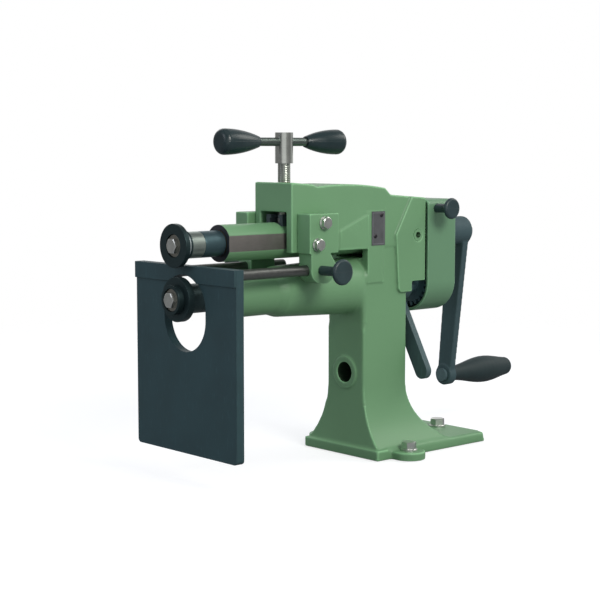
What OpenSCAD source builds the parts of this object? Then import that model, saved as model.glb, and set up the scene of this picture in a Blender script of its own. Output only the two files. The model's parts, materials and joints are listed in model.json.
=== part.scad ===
// Hand beading machine for sheet metal. A fixed horn carries the lower shaft and a tilting arm
// carries the upper one. Gears join the shafts, a crank turns them, and a screw spindle with a
// T handle presses the arm down on the work. A plate fence on two rods stops the sheet's edge.
// The rolls point to -X, the crank is at +X and Z is up. The origin is the centre of the bench
// bolt circle, on the underside of the base.

/* [Base] */
// Bolt circle of the three bench bolts
bolt_circle_d = 140; // [132:1:148]
// Bench bolt hole diameter
bench_hole_d = 9; // [7:0.5:11]
// Radius of the side lugs and of the land round the rear hole
lug_r = 16; // [12:0.5:18]
// Thickness of the side lugs
lug_t = 8; // [6:0.5:10]
// Reach of the base plate in front of the origin
base_front = 70; // [68:0.5:78]
// Length of base plate behind the rear bench hole
base_tail = 15; // [10:0.5:24]
// Width of the base plate
base_w = 106; // [96:1:110]
// Thickness of the base plate
base_t = 10; // [8:0.5:14]
// Corner radius of the base plate
base_corner_r = 1.5; // [1:0.5:8]

/* [Column] */
// Front face of the column, measured in front of the origin
col_front = 63.5; // [61:0.5:65]
// Depth of the column from front to back
col_depth = 59; // [57:0.5:61]
// Width of the column
col_w = 52; // [48:0.5:52.5]
// Height where the column starts to flare out to the base
flare_z = 68; // [52:1:90]
// Ledge between the foot of the flare and the edge of the base
flare_ledge = 3; // [0.5:0.5:4]
// Reach of the rear flare behind the column
rear_flare = 42; // [30:1:50]
// Diameter of the core hole in the front face
core_hole_d = 20; // [14:0.5:26]
// Height of the core hole
core_hole_z = 81; // [76:1:110]
// Width of the raised ring round the core hole
core_ring_w = 6; // [3:0.5:8]
// How far the ring stands proud
core_ring_t = 1.5; // [0.5:0.1:3]
// Depth of the core hole
core_depth = 36; // [20:1:42]

/* [Shafts] */
// Height of the lower shaft
lower_axis_z = 166.5; // [158:0.5:180]
// Distance between the two shafts, which is also the gears' pitch diameter
shaft_gap = 48; // [47:0.5:50]
// Shaft diameter
shaft_d = 20; // [17:0.5:20.5]
// Diameter of the noses that carry the rolls
nose_d = 14; // [11:0.5:15]
// Wall of the bronze bushes
bush_t = 2; // [1.5:0.1:2.4]
// Length of the bronze bushes
bush_l = 26; // [16:1:30]
// Width and height of the keys
key_w = 4; // [3:0.2:5]
// Radial clearance of everything that turns or slides in a bore
run_clear = 0.05; // [0.02:0.01:0.09]
// Radial clearance of what is pressed, screwed or clamped in a bore
seat_clear = 0.02; // [0.01:0.01:0.05]
// End play between a turning face and the face beside it
end_play = 0.4; // [0.3:0.1:0.8]

/* [Horn] */
// Front face of the horn, measured in front of the origin
horn_front = 215; // [208:0.5:217]
// Diameter of the slim front part
horn_d = 42; // [38:0.5:44]
// Where the thick root starts, measured in front of the origin
horn_step = 156; // [150:1:158]
// Length of the cone between the slim front part and the root
horn_blend = 10; // [4:1:10]
// Diameter of the root at its front end
root_front_d = 48; // [45:0.5:50]
// Diameter of the root at the column
root_rear_d = 56; // [51:0.5:58]
// Cast hollow round the lower shaft
horn_core_d = 32; // [28:0.5:34]

/* [Head] */
// Front face of the head, measured in front of the origin
head_front = 156.6; // [154:0.2:159]
// Width of the head
head_w = 53.2; // [53:0.2:55]
// Width of the channel that the arm moves in
channel_w = 36.6; // [36:0.2:38]
// Height of the channel's roof above the upper shaft
roof_rise = 26.8; // [26.5:0.1:29]
// Thickness of the head over the channel
roof_t = 23.4; // [20:0.1:26]
// How far the spindle block stands above the head
block_rise = 4.3; // [2:0.1:8]
// Length of the spindle block
block_l = 26.2; // [24:0.2:28]
// Rise of the head's arched top over the straight line between its ends
crown_rise = 2.9; // [1:0.1:4]
// Lower edge of the head's side walls below the upper shaft
wall_drop = 11; // [6:0.5:12]
// Lower edge of the raised pad on the column's sides, below the upper shaft
pad_drop = 44.5; // [30:0.5:46]
// Length of that pad from front to back
pad_l = 21.5; // [18:0.5:28]
// How far the column's front face steps back above the horn
neck_in = 4.6; // [3:0.2:7]
// Floor of the arm's chamber, below the arm
floor_gap = 3.5; // [3:0.1:5]
// Start of the sloped shoulder behind the head, measured in front of the origin
shoulder_at = 35; // [34:0.5:40]
// Length of that shoulder
shoulder_l = 7.5; // [6:0.5:12]
// Height of the head's top above the top of the cheeks
rear_step = 9.4; // [8:0.1:13]

/* [Pivot cheeks] */
// Width over the cheeks
cheek_w = 58; // [57:0.5:60]
// Width of the chamber between the cheeks
chamber_w = 46; // [45.6:0.2:47]
// Where the chamber starts, measured in front of the origin
chamber_front = 21; // [19:0.5:24]
// Rear face of the cheeks, behind the origin
cheek_rear = 19.4; // [19:0.2:20.4]
// Lower edge of the cheeks below the lower shaft
cheek_drop = 8; // [5:0.5:12]
// Edge of the notch under the cheeks, above the lower shaft
notch_rise = 2.3; // [0:0.1:5]
// Radius of the cheeks' lower front corners
cheek_corner_r = 6; // [3:0.5:8]
// Front of that notch, behind the origin
notch_at = 0.6; // [0:0.1:4]
// Arm pivot, behind the origin
pivot_x = 8.5; // [7:0.5:10]
// Diameter of the pivot screws
pivot_d = 12; // [10:0.5:13]
// Hexagon socket in the pivot screws, across the flats
pivot_hex = 6; // [5:0.5:7]

/* [Gears and cover] */
// Teeth on each gear
gear_teeth = 24; // [20:1:28]
// Face width of the gears
gear_w = 20; // [14:1:22]
// Front faces of the gears behind the cover's front edge
gear_inset = 4; // [3:0.5:6]
// Play between the teeth, measured along the pitch circle
backlash = 0.5; // [0.3:0.1:0.7]
// Diameter of the gears' hubs
gear_hub_d = 28; // [26:0.5:32]
// Width of the gear cover
cover_w = 62; // [61:0.5:66]
// Length of the gear cover
cover_l = 40; // [39:0.5:46]
// Wall of the gear cover
cover_t = 3; // [2:0.1:3.3]
// Gap between the cheeks and the cover
cover_seam = 1.6; // [1:0.1:2]
// Flat top of the cover above the upper shaft
cover_rise = 35; // [33.5:0.5:38]
// Corner radius along the top of the cover
cover_corner_r = 6; // [4:0.5:10]
// Diameter of the hole in the cover for the upper shaft
cover_hole_d = 26; // [25:0.5:30]
// Length of the tabs that carry the cover, inside the cover
tab_l = 21; // [19:0.5:24]
// Height of those tabs
tab_h = 11.5; // [10:0.5:13]
// Cover knob behind the cover's front edge
cover_knob_at = 12; // [11:0.5:14]

/* [Arm and saddle] */
// Front face of the arm, measured in front of the origin
arm_front = 222; // [221:0.5:228]
// Diameter of the arm
arm_d = 34; // [33:0.5:35]
// Width over the bare flats on the arm's sides
arm_flat_w = 31; // [30:0.2:32]
// Rear end of those flats, measured in front of the origin
arm_flat_end = 81; // [70:1:100]
// Clear bore of the arm between its bushes
arm_core_d = 22; // [21.5:0.1:23]
// Top of the saddle's seat above the upper shaft
seat_rise = 13.5; // [13:0.1:14]
// Length of the thrust saddle
saddle_l = 24; // [22:0.5:26]
// Width of the thrust saddle
saddle_w = 23; // [22:0.2:24]
// Floor of the saddle below its slot
saddle_floor = 2.5; // [2:0.1:3]
// Lips of the saddle over its slot
saddle_lip = 3.2; // [2.5:0.1:3.5]

/* [Spindle] */
// Spindle position, measured in front of the origin
spindle_at = 143; // [142:0.2:144]
// Thread diameter of the spindle
spindle_d = 12; // [10:0.5:13]
// Wall of the bronze spindle nut
nut_t = 4; // [3:0.2:5]
// Diameter of the button at the foot of the spindle
button_d = 13; // [12:0.2:13.4]
// Thickness of the button
button_t = 4.4; // [4:0.1:5]
// Diameter of the button's neck
button_neck_d = 10; // [9.6:0.1:10.6]
// Height of the handle hub above the spindle block
hub_gap = 17.3; // [14:0.1:24]
// Diameter of the handle hub
hub_d = 17; // [15.5:0.1:20]
// Height of the handle hub
hub_h = 28.7; // [26:0.1:34]
// Diameter of the cross bar
tee_d = 8; // [6:0.2:9]
// Length over the T handle
tee_l = 150.6; // [140:0.2:180]
// Length of each T handle grip
tee_grip_l = 46; // [42:0.5:54]
// Largest diameter of the T handle grips
tee_grip_d = 24; // [21:0.5:26]
// Diameter of the T handle grips at their inner end
tee_neck_d = 10.6; // [10.5:0.1:13]
// Radius of the T handle grips' outer edge
tee_grip_edge = 6; // [3:0.5:9]
// How far the cross bar has slid to the front in its hub
tee_shift = 2.7; // [0:0.1:5]

/* [Rolls] */
// Flange diameter of the upper roll
upper_roll_d = 39.4; // [36:0.2:41]
// Flange thickness of the upper roll
upper_flange_t = 5; // [4:0.2:6]
// Hub diameter of the upper roll
upper_hub_d = 27; // [25:0.2:28]
// Hub length of the upper roll
upper_hub_l = 8; // [6:0.2:9]
// Length of the bright spacer behind the upper roll
upper_spacer_l = 15; // [13:0.5:17]
// Length of the dark collar in front of the arm
upper_collar_l = 23; // [21:0.5:25]
// Diameter of the spacer and the collar
spacer_d = 24; // [22:0.2:25]
// Rim diameter of the lower roll
lower_roll_d = 40; // [36:0.2:42]
// Rim width of the lower roll
lower_rim_t = 7; // [5:0.2:9]
// Front hub length of the lower roll
lower_front_l = 5.8; // [4:0.2:7]
// Rear hub length of the lower roll
lower_rear_l = 16; // [12:0.5:20]
// Hub diameter of the lower roll and its spacer
lower_hub_d = 26.6; // [25:0.2:28]
// Length of the spacer behind the lower roll
lower_spacer_l = 30.5; // [29:0.5:33]
// Depth of the recess for the washer in each roll's face
recess_t = 3.5; // [3:0.1:4]
// Diameter of the roll washers
roll_washer_d = 20; // [18:0.5:21]
// Thickness of the roll washers
roll_washer_t = 2; // [1.5:0.1:2.5]
// Thread diameter of the roll bolts
roll_bolt_d = 8; // [6:0.5:9]

/* [Fence] */
// Width of the fence plate
fence_w = 146; // [130:1:156]
// Height of the fence plate
fence_h = 170; // [150:1:180]
// Thickness of the fence plate
fence_t = 8.5; // [7.5:0.1:9]
// Front face of the fence plate, measured in front of the origin
fence_front = 261; // [259:0.5:262]
// Top of the fence plate above the lower shaft
fence_rise = 30.1; // [29.8:0.1:30.6]
// Corner radius at the foot of the fence plate
fence_corner_r = 4; // [1:0.5:8]
// Radius of the round-ended hole for the lower roll
fence_hole_r = 30; // [28:0.5:31]
// Height of that hole
fence_hole_h = 69.5; // [68:0.5:72]
// Plate left above that hole
fence_bridge = 8.1; // [7:0.1:8.4]
// Height of the thin wear strip on the front
strip_h = 15; // [10:0.5:20]
// Thickness of the wear strip
strip_t = 2; // [1:0.1:2.4]
// Diameter of the fence rods
rod_d = 10; // [8:0.5:11]
// Distance between the fence rods
rod_gap = 72; // [71:0.2:73]
// Height of the rods below the fence top
rod_drop = 8.6; // [8:0.1:9.5]
// Rear end of the fence rods, measured in front of the origin
rod_end = 113; // [106:0.5:115]
// Depth of the rods in the plate
rod_seat = 5; // [4:0.2:6]

/* [Rod brackets] */
// Thickness of the brackets
bracket_t = 18; // [17:0.2:20]
// Length of the brackets
bracket_l = 35.8; // [34:0.2:37]
// Front end of the near bracket, measured in front of the origin
bracket_front = 150.3; // [149.5:0.1:151]
// Top of the brackets above the upper shaft
bracket_rise = 25.9; // [24:0.1:28]
// Lower edge of the brackets' plates below the upper shaft
bracket_drop = 11; // [9:0.1:12]
// Clamp screw behind the bracket's front end
clamp_at = 14.5; // [14:0.1:16]
// Front of the boss round the rod, behind the bracket's front end
boss_inset = 2; // [1:0.1:3]
// Length of that boss
boss_l = 30; // [28:0.5:31]
// Radius of the boss's lower corners
boss_r = 12.5; // [12:0.1:14]
// Length of the web that joins the boss to the bracket's plate
web_l = 23.5; // [22:0.5:26]
// Upper bolt behind the bracket's front end
upper_bolt_at = 17.3; // [15:0.1:20]
// Upper bolt below the bracket's top
upper_bolt_drop = 8.4; // [8:0.1:10]
// Lower bolt behind the bracket's front end
lower_bolt_at = 8.8; // [8:0.1:10]
// Lower bolt below the bracket's top
lower_bolt_drop = 28.4; // [27:0.1:29]
// Centre that the far bracket is turned about, measured in front of the origin
bracket_turn_at = 140; // [138:0.5:142]
// Thread diameter of the bracket bolts and the cover bolt
m6_d = 6; // [5:0.2:6.6]

/* [Knobs] */
// Head diameter of the two rod clamp knobs
rod_knob_d = 24; // [22:0.5:27]
// Head height of the rod clamp knobs, with the cone under their rim
rod_knob_head_h = 12; // [10:0.5:14]
// Overall height of the rod clamp knobs
rod_knob_h = 30; // [27:0.5:34]
// Head diameter of the cover knob
cover_knob_d = 21; // [19:0.5:24]
// Head height of the cover knob, with the cone under its rim
cover_knob_head_h = 10; // [8:0.5:12]
// Overall height of the cover knob
cover_knob_h = 22; // [20:0.5:27]
// Diameter of all the knobs' necks
knob_neck_d = 9; // [8.5:0.5:11]
// Radius of the knobs' round rims
knob_rim_r = 2.5; // [1.5:0.1:3]

/* [Crank] */
// Crank radius
crank_r = 155; // [130:1:175]
// How far the crank hangs from straight down
crank_angle = 5.8; // [-20:0.1:20]
// Gap between the cover and the crank hub
crank_gap = 3; // [2:0.1:4]
// Length of the crank hub
crank_hub_l = 41; // [38:0.5:46]
// Diameter of the crank hub
crank_hub_d = 30; // [28:0.5:34]
// Thickness of the crank arm
crank_t = 8; // [7:0.5:10]
// Width of the crank arm at the hub
crank_w0 = 24; // [21:0.5:27]
// Width of the crank arm at the grip
crank_w1 = 17.5; // [15:0.5:20]
// Diameter of the boss at the grip
grip_boss_d = 22; // [20:0.5:26]
// Diameter of the grip pin
grip_pin_d = 8; // [6:0.5:9]
// Length of the crank grip
crank_grip_l = 93; // [80:1:105]
// Diameter of the crank grip at its foot
grip_foot_d = 15; // [14:0.5:22]
// Largest diameter of the crank grip
grip_belly_d = 28.6; // [25:0.2:31]

/* [Adjusting lever] */
// Outside diameter of the adjusting ring
ring_d = 40; // [38:0.5:42]
// Outside diameter of the threaded spigot in the ring
spigot_d = 32; // [30:0.5:33]
// Length of the spigot behind the column
spigot_l = 7.5; // [6:0.5:8]
// Length of the adjusting ring
ring_l = 16; // [15:0.5:17]
// Outside diameter of the thrust sleeve
sleeve_d = 26; // [25:0.2:27]
// Depth of the thrust sleeve in the column
sleeve_seat = 10; // [8:0.5:14]
// Thickness of the thrust sleeve's flange
flange_t = 10; // [6:0.5:10]
// Axial adjustment of the lower shaft to each side
lower_shift = 1; // [0.5:0.1:1.2]
// Length of the adjusting lever from the shaft's axis
lever_l = 94.6; // [80:0.2:104]
// Angle of the lever from straight down
lever_angle = 28.7; // [10:0.1:32]
// Width of the lever
lever_w = 16.5; // [12:0.5:18]
// How far the lever's middle line passes beside the shaft's axis
lever_offset = 8.2; // [0:0.2:9]
// Thickness of the lever
lever_t = 7; // [5:0.5:8]

/* [Name plate] */
// Length of the bare plate on the head
plate_l = 18; // [16:0.5:22]
// Height of the bare plate
plate_h = 33; // [26:0.5:34]
// Thickness of the bare plate
plate_t = 1; // [0.6:0.1:1.5]
// Front edge of the plate, measured in front of the origin
plate_at = 54.5; // [50:0.5:58]
// Lower edge of the plate below the upper shaft
plate_drop = 8; // [4:0.5:10]
// Shank diameter of the plate's rivets
rivet_d = 3; // [2:0.2:3.4]
// Upper rivet in front of the plate's rear edge
upper_rivet_in = 4.9; // [4:0.1:9]
// Upper rivet below the plate's upper edge
upper_rivet_drop = 3.6; // [3:0.1:6]
// Lower rivet behind the plate's front edge
lower_rivet_in = 4.9; // [4:0.1:9]
// Lower rivet above the plate's lower edge
lower_rivet_rise = 9.2; // [4:0.1:10]

/* [Hidden] */
$fn = 96;

// Colours of the real finishes
enamel = [0.40, 0.58, 0.42];
blacking = [0.16, 0.20, 0.21];
plastic = [0.09, 0.10, 0.11];
steel = [0.70, 0.71, 0.70];
bronze = [0.66, 0.52, 0.30];
plate_metal = [0.45, 0.38, 0.30];

// Overlap of a cut past the faces that it opens
cut = 1;
// Room round a moving piece that is not a fit
room = 0.6;
// Gap left at the end of a screw, a key or a shaft in its hole
end_gap = 0.5;
// Gap between two faces that stay close without touching
face_gap = 0.3;

// Shafts and bores
upper_axis_z = lower_axis_z + shaft_gap;
shaft_bore = shaft_d + 2 * run_clear;
bush_d = shaft_d + 2 * bush_t;
bush_bore = bush_d + 2 * seat_clear;
roll_bore = nose_d + 2 * seat_clear;
hub_bore = shaft_d + 2 * seat_clear;
recess_d = roll_washer_d + room;
roll_bolt_bore = roll_bolt_d + 2 * seat_clear;

// Base and column
bolt_r = bolt_circle_d / 2;
lug_x = -bolt_r * cos(60);
lug_y = bolt_r * sin(60);
base_x = [-base_front, bolt_r + base_tail];
col_x = [-col_front, col_depth - col_front];
neck_x = col_x[0] + neck_in;
foot_x = [flare_ledge - base_front, col_x[1] + rear_flare];
foot_w = base_w - 2 * flare_ledge;
flare_h = flare_z - base_t;

// Head and cheeks
roof_z = upper_axis_z + roof_rise;
head_top_z = roof_z + roof_t;
block_top_z = head_top_z + block_rise;
block_x = [-head_front, block_l - head_front];
block_ramp = 6;
wall_z = upper_axis_z - wall_drop;
pad_z = upper_axis_z - pad_drop;
floor_z = upper_axis_z - arm_d / 2 - floor_gap;
shoulder_x = -shoulder_at;
shoulder_drop = 2.7;
rear_top_z = head_top_z - rear_step;
rear_fall = 3.8;
rear_top_x = [shoulder_x + shoulder_l, cheek_rear];
rear_slope = rear_fall / (rear_top_x[1] - rear_top_x[0]);
cheek_low_z = lower_axis_z - cheek_drop;
cheek_step_z = lower_axis_z + notch_rise;
cheek_foot = 2.4;
cheek_foot_x = cheek_foot - chamber_front;
cheek_lead = 0.9;
cheek_lean = 21;
cheek_ridge_rise = 1.5;
cheek_ridge_x = [-chamber_front - cheek_lead, -chamber_front + cheek_lean];
cheek_ridge_z = upper_axis_z + cheek_ridge_rise;
cheek_top_z = rear_top_z - rear_slope * (cheek_ridge_x[1] - rear_top_x[0]);
pad_end_x = neck_x + pad_l;

// Arched top of the head, from behind the spindle block to the shoulder
crown_ends = [[block_x[1] + block_ramp, head_top_z], [shoulder_x, head_top_z - shoulder_drop]];
crown_span = crown_ends[1] - crown_ends[0];
crown_up = [-crown_span[1], crown_span[0]] / norm(crown_span);

// Gears and cover
gear_module = shaft_gap / gear_teeth;
pressure_angle = 20;
cover_x = [cheek_rear + cover_seam, cheek_rear + cover_seam + cover_l];
cover_top_z = upper_axis_z + cover_rise;
gear_x = [cover_x[0] + gear_inset, cover_x[0] + gear_inset + gear_w];
arm_inset = 1.4;
arm_rear = cheek_rear - arm_inset;
tab_root = 4;
tab_x = [cheek_rear - tab_root, cover_x[0] + tab_l];
tab_z = [cover_top_z - cover_t - tab_h, cover_top_z - cover_t];
tab_y = [chamber_w / 2, cover_w / 2 - cover_t];
tab_neck_t = 2;
tab_neck_x = [cheek_rear, cover_x[0] + tab_root];
cover_knob_x = cover_x[0] + cover_knob_at;
cover_knob_z = (tab_z[0] + tab_z[1]) / 2;

// Upper shaft line, from the arm to the front
collar_x = [-arm_front - end_play - upper_collar_l, -arm_front - end_play];
spacer_x = [collar_x[0] - upper_spacer_l, collar_x[0]];
upper_roll_x = [spacer_x[0] - upper_hub_l - upper_flange_t, spacer_x[0]];
upper_nose_x = upper_roll_x[0] + recess_t + end_gap;
nose_step_x = collar_x[1];
upper_gear_hub_x = [arm_rear + end_play, cover_x[1] - cover_t - 2 * end_gap];
crank_x = [cover_x[1] + crank_gap, cover_x[1] + crank_gap + crank_hub_l];
crank_lip = 1.5;
washer_edge = 2;
crank_arm_x = [crank_x[1] - crank_t - crank_lip, crank_x[1] - crank_lip];
upper_end_x = crank_x[1] - 2 * end_gap;
bolt_hole_l = 20;
boss_lip = 1;
grip_x = [crank_arm_x[1] + boss_lip + end_play, crank_arm_x[1] + boss_lip + end_play + crank_grip_l];
grip_head_t = 3;
grip_cap = 7.5;

// Lower shaft line, from the horn to the front
horn_gap = 2.5;
lower_spacer_x = [-horn_front - horn_gap - lower_spacer_l, -horn_front - horn_gap];
lower_roll_x = [lower_spacer_x[0] - lower_rear_l - lower_rim_t - lower_front_l, lower_spacer_x[0]];
lower_rim_x = [lower_roll_x[0] + lower_front_l, lower_roll_x[0] + lower_front_l + lower_rim_t];
lower_nose_x = lower_roll_x[0] + recess_t + end_gap;
lower_nut_t = 7.5;
lower_nut_x = [gear_x[1] + end_gap, gear_x[1] + end_gap + lower_nut_t];
lower_end_x = lower_nut_x[1] + end_gap;

// Keys
key_inset = 1;
crank_key_inset = 8;
lower_key_inset = 4;
upper_roll_key_x = [upper_nose_x + key_inset, upper_roll_x[1] - end_gap];
gear_key_x = [gear_x[0] + key_inset, gear_x[1] - key_inset];
crank_key_x = [crank_x[0] + crank_key_inset, crank_x[1] - crank_key_inset];
lower_roll_key_x = [lower_rim_x[0], lower_roll_x[1] - lower_key_inset];

// Adjusting ring, thrust sleeve and lever
spigot_x = [col_x[1], col_x[1] + spigot_l];
ring_x = [col_x[1] + end_play, col_x[1] + end_play + ring_l];
sleeve_bore = sleeve_d + 2 * run_clear;
flange_front = spigot_x[1] + lower_shift + end_play;
flange_x = [flange_front, flange_front + flange_t];
sleeve_x = [col_x[1] - sleeve_seat, flange_x[1]];
flange_d = spigot_d - 2 * room;
lower_gear_hub_x = [flange_x[1] + end_play, gear_x[1]];
lever_inset = 1;
lever_x = [ring_x[1] - lever_t - lever_inset, ring_x[1] - lever_inset];
rear_bush_end = sleeve_x[0] - lower_shift - end_play;
rear_bush_x = [rear_bush_end - bush_l, rear_bush_end];

// Arm, saddle and spindle
arm_z = upper_axis_z;
trunnion_w = chamber_w - 2 * room;
trunnion_lead = 18;
trunnion_x = [pivot_x - trunnion_lead, arm_rear];
pivot_bore = pivot_d + 2 * run_clear;
pivot_wall = 1.5;
pivot_tip = bush_d / 2 + pivot_wall;
pivot_hex_l = 5;
seat_z = upper_axis_z + seat_rise;
saddle_x = [-spindle_at - saddle_l / 2, -spindle_at + saddle_l / 2];
slot_h = button_t + 2 * face_gap;
slot_w = button_d + room;
lip_w = button_neck_d + room;
slot_z = seat_z + saddle_floor;
saddle_top_z = slot_z + slot_h + saddle_lip;
saddle_screw_d = 3;
saddle_screw_l = 5.5;
saddle_screw_edge = 2.5;
saddle_screw_y = saddle_w / 2 - saddle_screw_edge;
saddle_screw_inset = 3;
button_z = slot_z + face_gap;
button_rise = 0.8;
button_top_z = saddle_top_z + button_rise;
button_wall = 1.5;
spindle_pin_d = button_neck_d - 2 * button_wall;
spindle_pin_l = 6;
nut_d = spindle_d + 2 * nut_t;
hub_z = [block_top_z + hub_gap, block_top_z + hub_gap + hub_h];
hub_cap = 4.7;
tee_z = hub_z[1] - tee_d / 2 - hub_cap;
spindle_top_z = tee_z - tee_d / 2 - 2 * end_gap;
tee_grip_cap = 11.5;
tee_bar_l = tee_l - 2 * tee_grip_cap - 2 * end_gap;
tee_x = -spindle_at - tee_shift;

// Fence and rods
fence_x = [-fence_front, fence_t - fence_front];
strip_x = [fence_x[0] - strip_t, fence_x[0]];
fence_top_z = lower_axis_z + fence_rise;
fence_low_z = fence_top_z - fence_h;
hole_top_z = fence_top_z - fence_bridge;
hole_low_z = hole_top_z - fence_hole_h;
rod_y = rod_gap / 2;
rod_z = fence_top_z - rod_drop;
rod_bore = rod_d + 2 * run_clear;
rod_x = [fence_x[1] - rod_seat, -rod_end];

// Brackets, their bolts and the clamp knobs. The far bracket is the near one turned round.
bracket_x = [-bracket_front, bracket_l - bracket_front];
bracket_y = [-head_w / 2 - bracket_t, -head_w / 2];
bracket_top_z = upper_axis_z + bracket_rise;
bracket_turn_x = -bracket_turn_at;
bracket_low_z = upper_axis_z - bracket_drop;
clamp_x = bracket_x[0] + clamp_at;
boss_x = [bracket_x[0] + boss_inset, bracket_x[0] + boss_inset + boss_l];
bracket_bolt_at = [
    [bracket_x[0] + upper_bolt_at, bracket_top_z - upper_bolt_drop],
    [bracket_x[0] + lower_bolt_at, bracket_top_z - lower_bolt_drop]
];
m6_head_af = 1.667 * m6_d;
m6_head_h = 0.67 * m6_d;
m6_washer_d = 2 * m6_d;
m6_washer_t = 1.6;
bolt_depth = 7;
knob_gap = 0.4;
knob_cap = 8;
clamp_tip_y = rod_y + rod_d / 2 + face_gap;

// Name plate, and the shelf below it where the column's sides step back behind the pad
plate_x = [-plate_at, plate_l - plate_at];
plate_low_z = upper_axis_z - plate_drop;
plate_z = [plate_low_z, plate_low_z + plate_h];
shelf_gap = 1.5;
shelf_z = plate_low_z - shelf_gap;
rivet_l = 3.5;
rivet_head_t = 1;
rivet_head_d = rivet_d + 1.6;

// Radius of an arc that has moved aside by o from its tangent after the length h along it
function flare_r(o, h) = (h * h + o * o) / (2 * o);

// Involute angle in degrees
function inv(a) = tan(a) * 180 / PI - a;

module block(x, y, z) {
    translate([x[0], y[0], z[0]])
        cube([x[1] - x[0], y[1] - y[0], z[1] - z[0]]);
}

module bar_x(x, d, y = 0, z = 0, fn = $fn) {
    translate([x[0], y, z])
        rotate([0, 90, 0])
            cylinder(h = x[1] - x[0], d = d, $fn = fn);
}

module bar_y(y, d, x = 0, z = 0, fn = $fn) {
    translate([x, y[0], z])
        rotate([-90, 0, 0])
            cylinder(h = y[1] - y[0], d = d, $fn = fn);
}

module bar_z(z, d, x = 0, y = 0, fn = $fn) {
    translate([x, y, z[0]])
        cylinder(h = z[1] - z[0], d = d, $fn = fn);
}

module ring_x(x, d, bore, z) {
    difference() {
        bar_x(x, d, z = z);
        bar_x([x[0] - cut, x[1] + cut], bore, z = z);
    }
}

// Extrudes an outline drawn in X and Z across the machine
module across(y) {
    translate([0, y[1], 0])
        rotate([90, 0, 0])
            linear_extrude(y[1] - y[0])
                children();
}

// Extrudes an outline drawn in Y and Z along the machine
module along(x) {
    translate([x[0], 0, 0])
        rotate([90, 0, 90])
            linear_extrude(x[1] - x[0])
                children();
}

module rounded(size, r) {
    for (sx = [-1, 1], sy = [-1, 1])
        translate([sx * (size[0] / 2 - r), sy * (size[1] / 2 - r)])
            circle(r);
    square([size[0] - 2 * r, size[1]], center = true);
    square([size[0], size[1] - 2 * r], center = true);
}

// Two round ends and the straight tapered strip between them, pointing to +X
module link(d0, d1, l) {
    a = acos((d0 - d1) / 2 / l);
    circle(d = d0);
    translate([l, 0])
        circle(d = d1);
    polygon([
        d0 / 2 * [cos(a), sin(a)], d0 / 2 * [cos(a), -sin(a)],
        [l, 0] + d1 / 2 * [cos(a), -sin(a)], [l, 0] + d1 / 2 * [cos(a), sin(a)]
    ]);
}

// Hexagon across its flats
function hex_d(af) = af / cos(30);

// Key on top of a shaft: half of it sunk in the shaft, the rest in the hub
module key_on(x, d, z, extra = 0) {
    top = z + d / 2 + key_w / 2;
    block(x, [-key_w / 2, key_w / 2], [top - key_w, top + extra]);
}

// Turns its children from the near side to the far bracket's place
module far_side() {
    translate([bracket_turn_x, 0, 0])
        rotate([0, 0, 180])
            translate([-bracket_turn_x, 0, 0])
                children();
}

module base_plate() {
    translate([(base_x[0] + base_x[1]) / 2, 0, 0])
        linear_extrude(base_t)
            rounded([base_x[1] - base_x[0], base_w], base_corner_r);
    for (s = [-1, 1]) {
        bar_z([0, lug_t], 2 * lug_r, lug_x, s * lug_y);
        block([lug_x - lug_r, lug_x + lug_r], s > 0 ? [0, lug_y] : [-lug_y, 0], [0, lug_t]);
    }
}

module flare() {
    front_r = flare_r(col_x[0] - foot_x[0], flare_h);
    rear_r = flare_r(rear_flare, flare_h);
    side_r = flare_r((foot_w - col_w) / 2, flare_h);
    intersection() {
        across([-base_w, base_w])
            difference() {
                translate([foot_x[0], 0])
                    square([foot_x[1] - foot_x[0], flare_z]);
                translate([col_x[0] - front_r, flare_z])
                    circle(front_r);
                translate([col_x[1] + rear_r, flare_z])
                    circle(rear_r);
            }
        along([foot_x[0], foot_x[1]])
            difference() {
                translate([-foot_w / 2, 0])
                    square([foot_w, flare_z]);
                for (s = [-1, 1])
                    translate([s * (col_w / 2 + side_r), flare_z])
                        circle(side_r);
            }
    }
}

module horn() {
    step = horn_front - horn_step;
    end = horn_front + neck_x + cut;
    difference() {
        translate([-horn_front, 0, lower_axis_z])
            rotate([0, 90, 0])
                rotate_extrude()
                    polygon([
                        [0, 0],
                        [horn_d / 2, 0],
                        [horn_d / 2, step - horn_blend],
                        [root_front_d / 2, step],
                        [root_rear_d / 2, end],
                        [0, end]
                    ]);
        for (s = [-1, 1])
            block([col_x[0], neck_x + 2 * cut],
                s > 0 ? [col_w / 2, root_rear_d] : [-root_rear_d, -col_w / 2],
                [lower_axis_z - root_rear_d, lower_axis_z + root_rear_d]);
    }
}

module head_outline() {
    polygon([
        [-head_front, wall_z],
        [-head_front, block_top_z],
        [block_x[1], block_top_z - block_rise / 2],
        crown_ends[0],
        crown_ends[1],
        [rear_top_x[0], rear_top_z],
        [cheek_rear, rear_top_z - rear_fall],
        [cheek_rear, cheek_step_z],
        [notch_at, cheek_step_z],
        [notch_at, cheek_low_z + cheek_corner_r],
        [cheek_foot_x, cheek_low_z + cheek_corner_r],
        [cheek_foot_x, shelf_z],
        [pad_end_x, shelf_z],
        [pad_end_x, pad_z],
        [neck_x, pad_z],
        [neck_x, wall_z]
    ]);
    head_crown();
}

// Flat segment of a circle on top of the head
module head_crown() {
    r = flare_r(crown_rise, norm(crown_span) / 2);
    middle = (crown_ends[0] + crown_ends[1]) / 2;
    intersection() {
        translate(middle + (crown_rise - r) * crown_up)
            circle(r);
        polygon([
            crown_ends[0] - [0, cut], crown_ends[0] + [0, 2 * crown_rise],
            crown_ends[1] + [0, 2 * crown_rise], crown_ends[1] - [0, cut]
        ]);
    }
}

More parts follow.
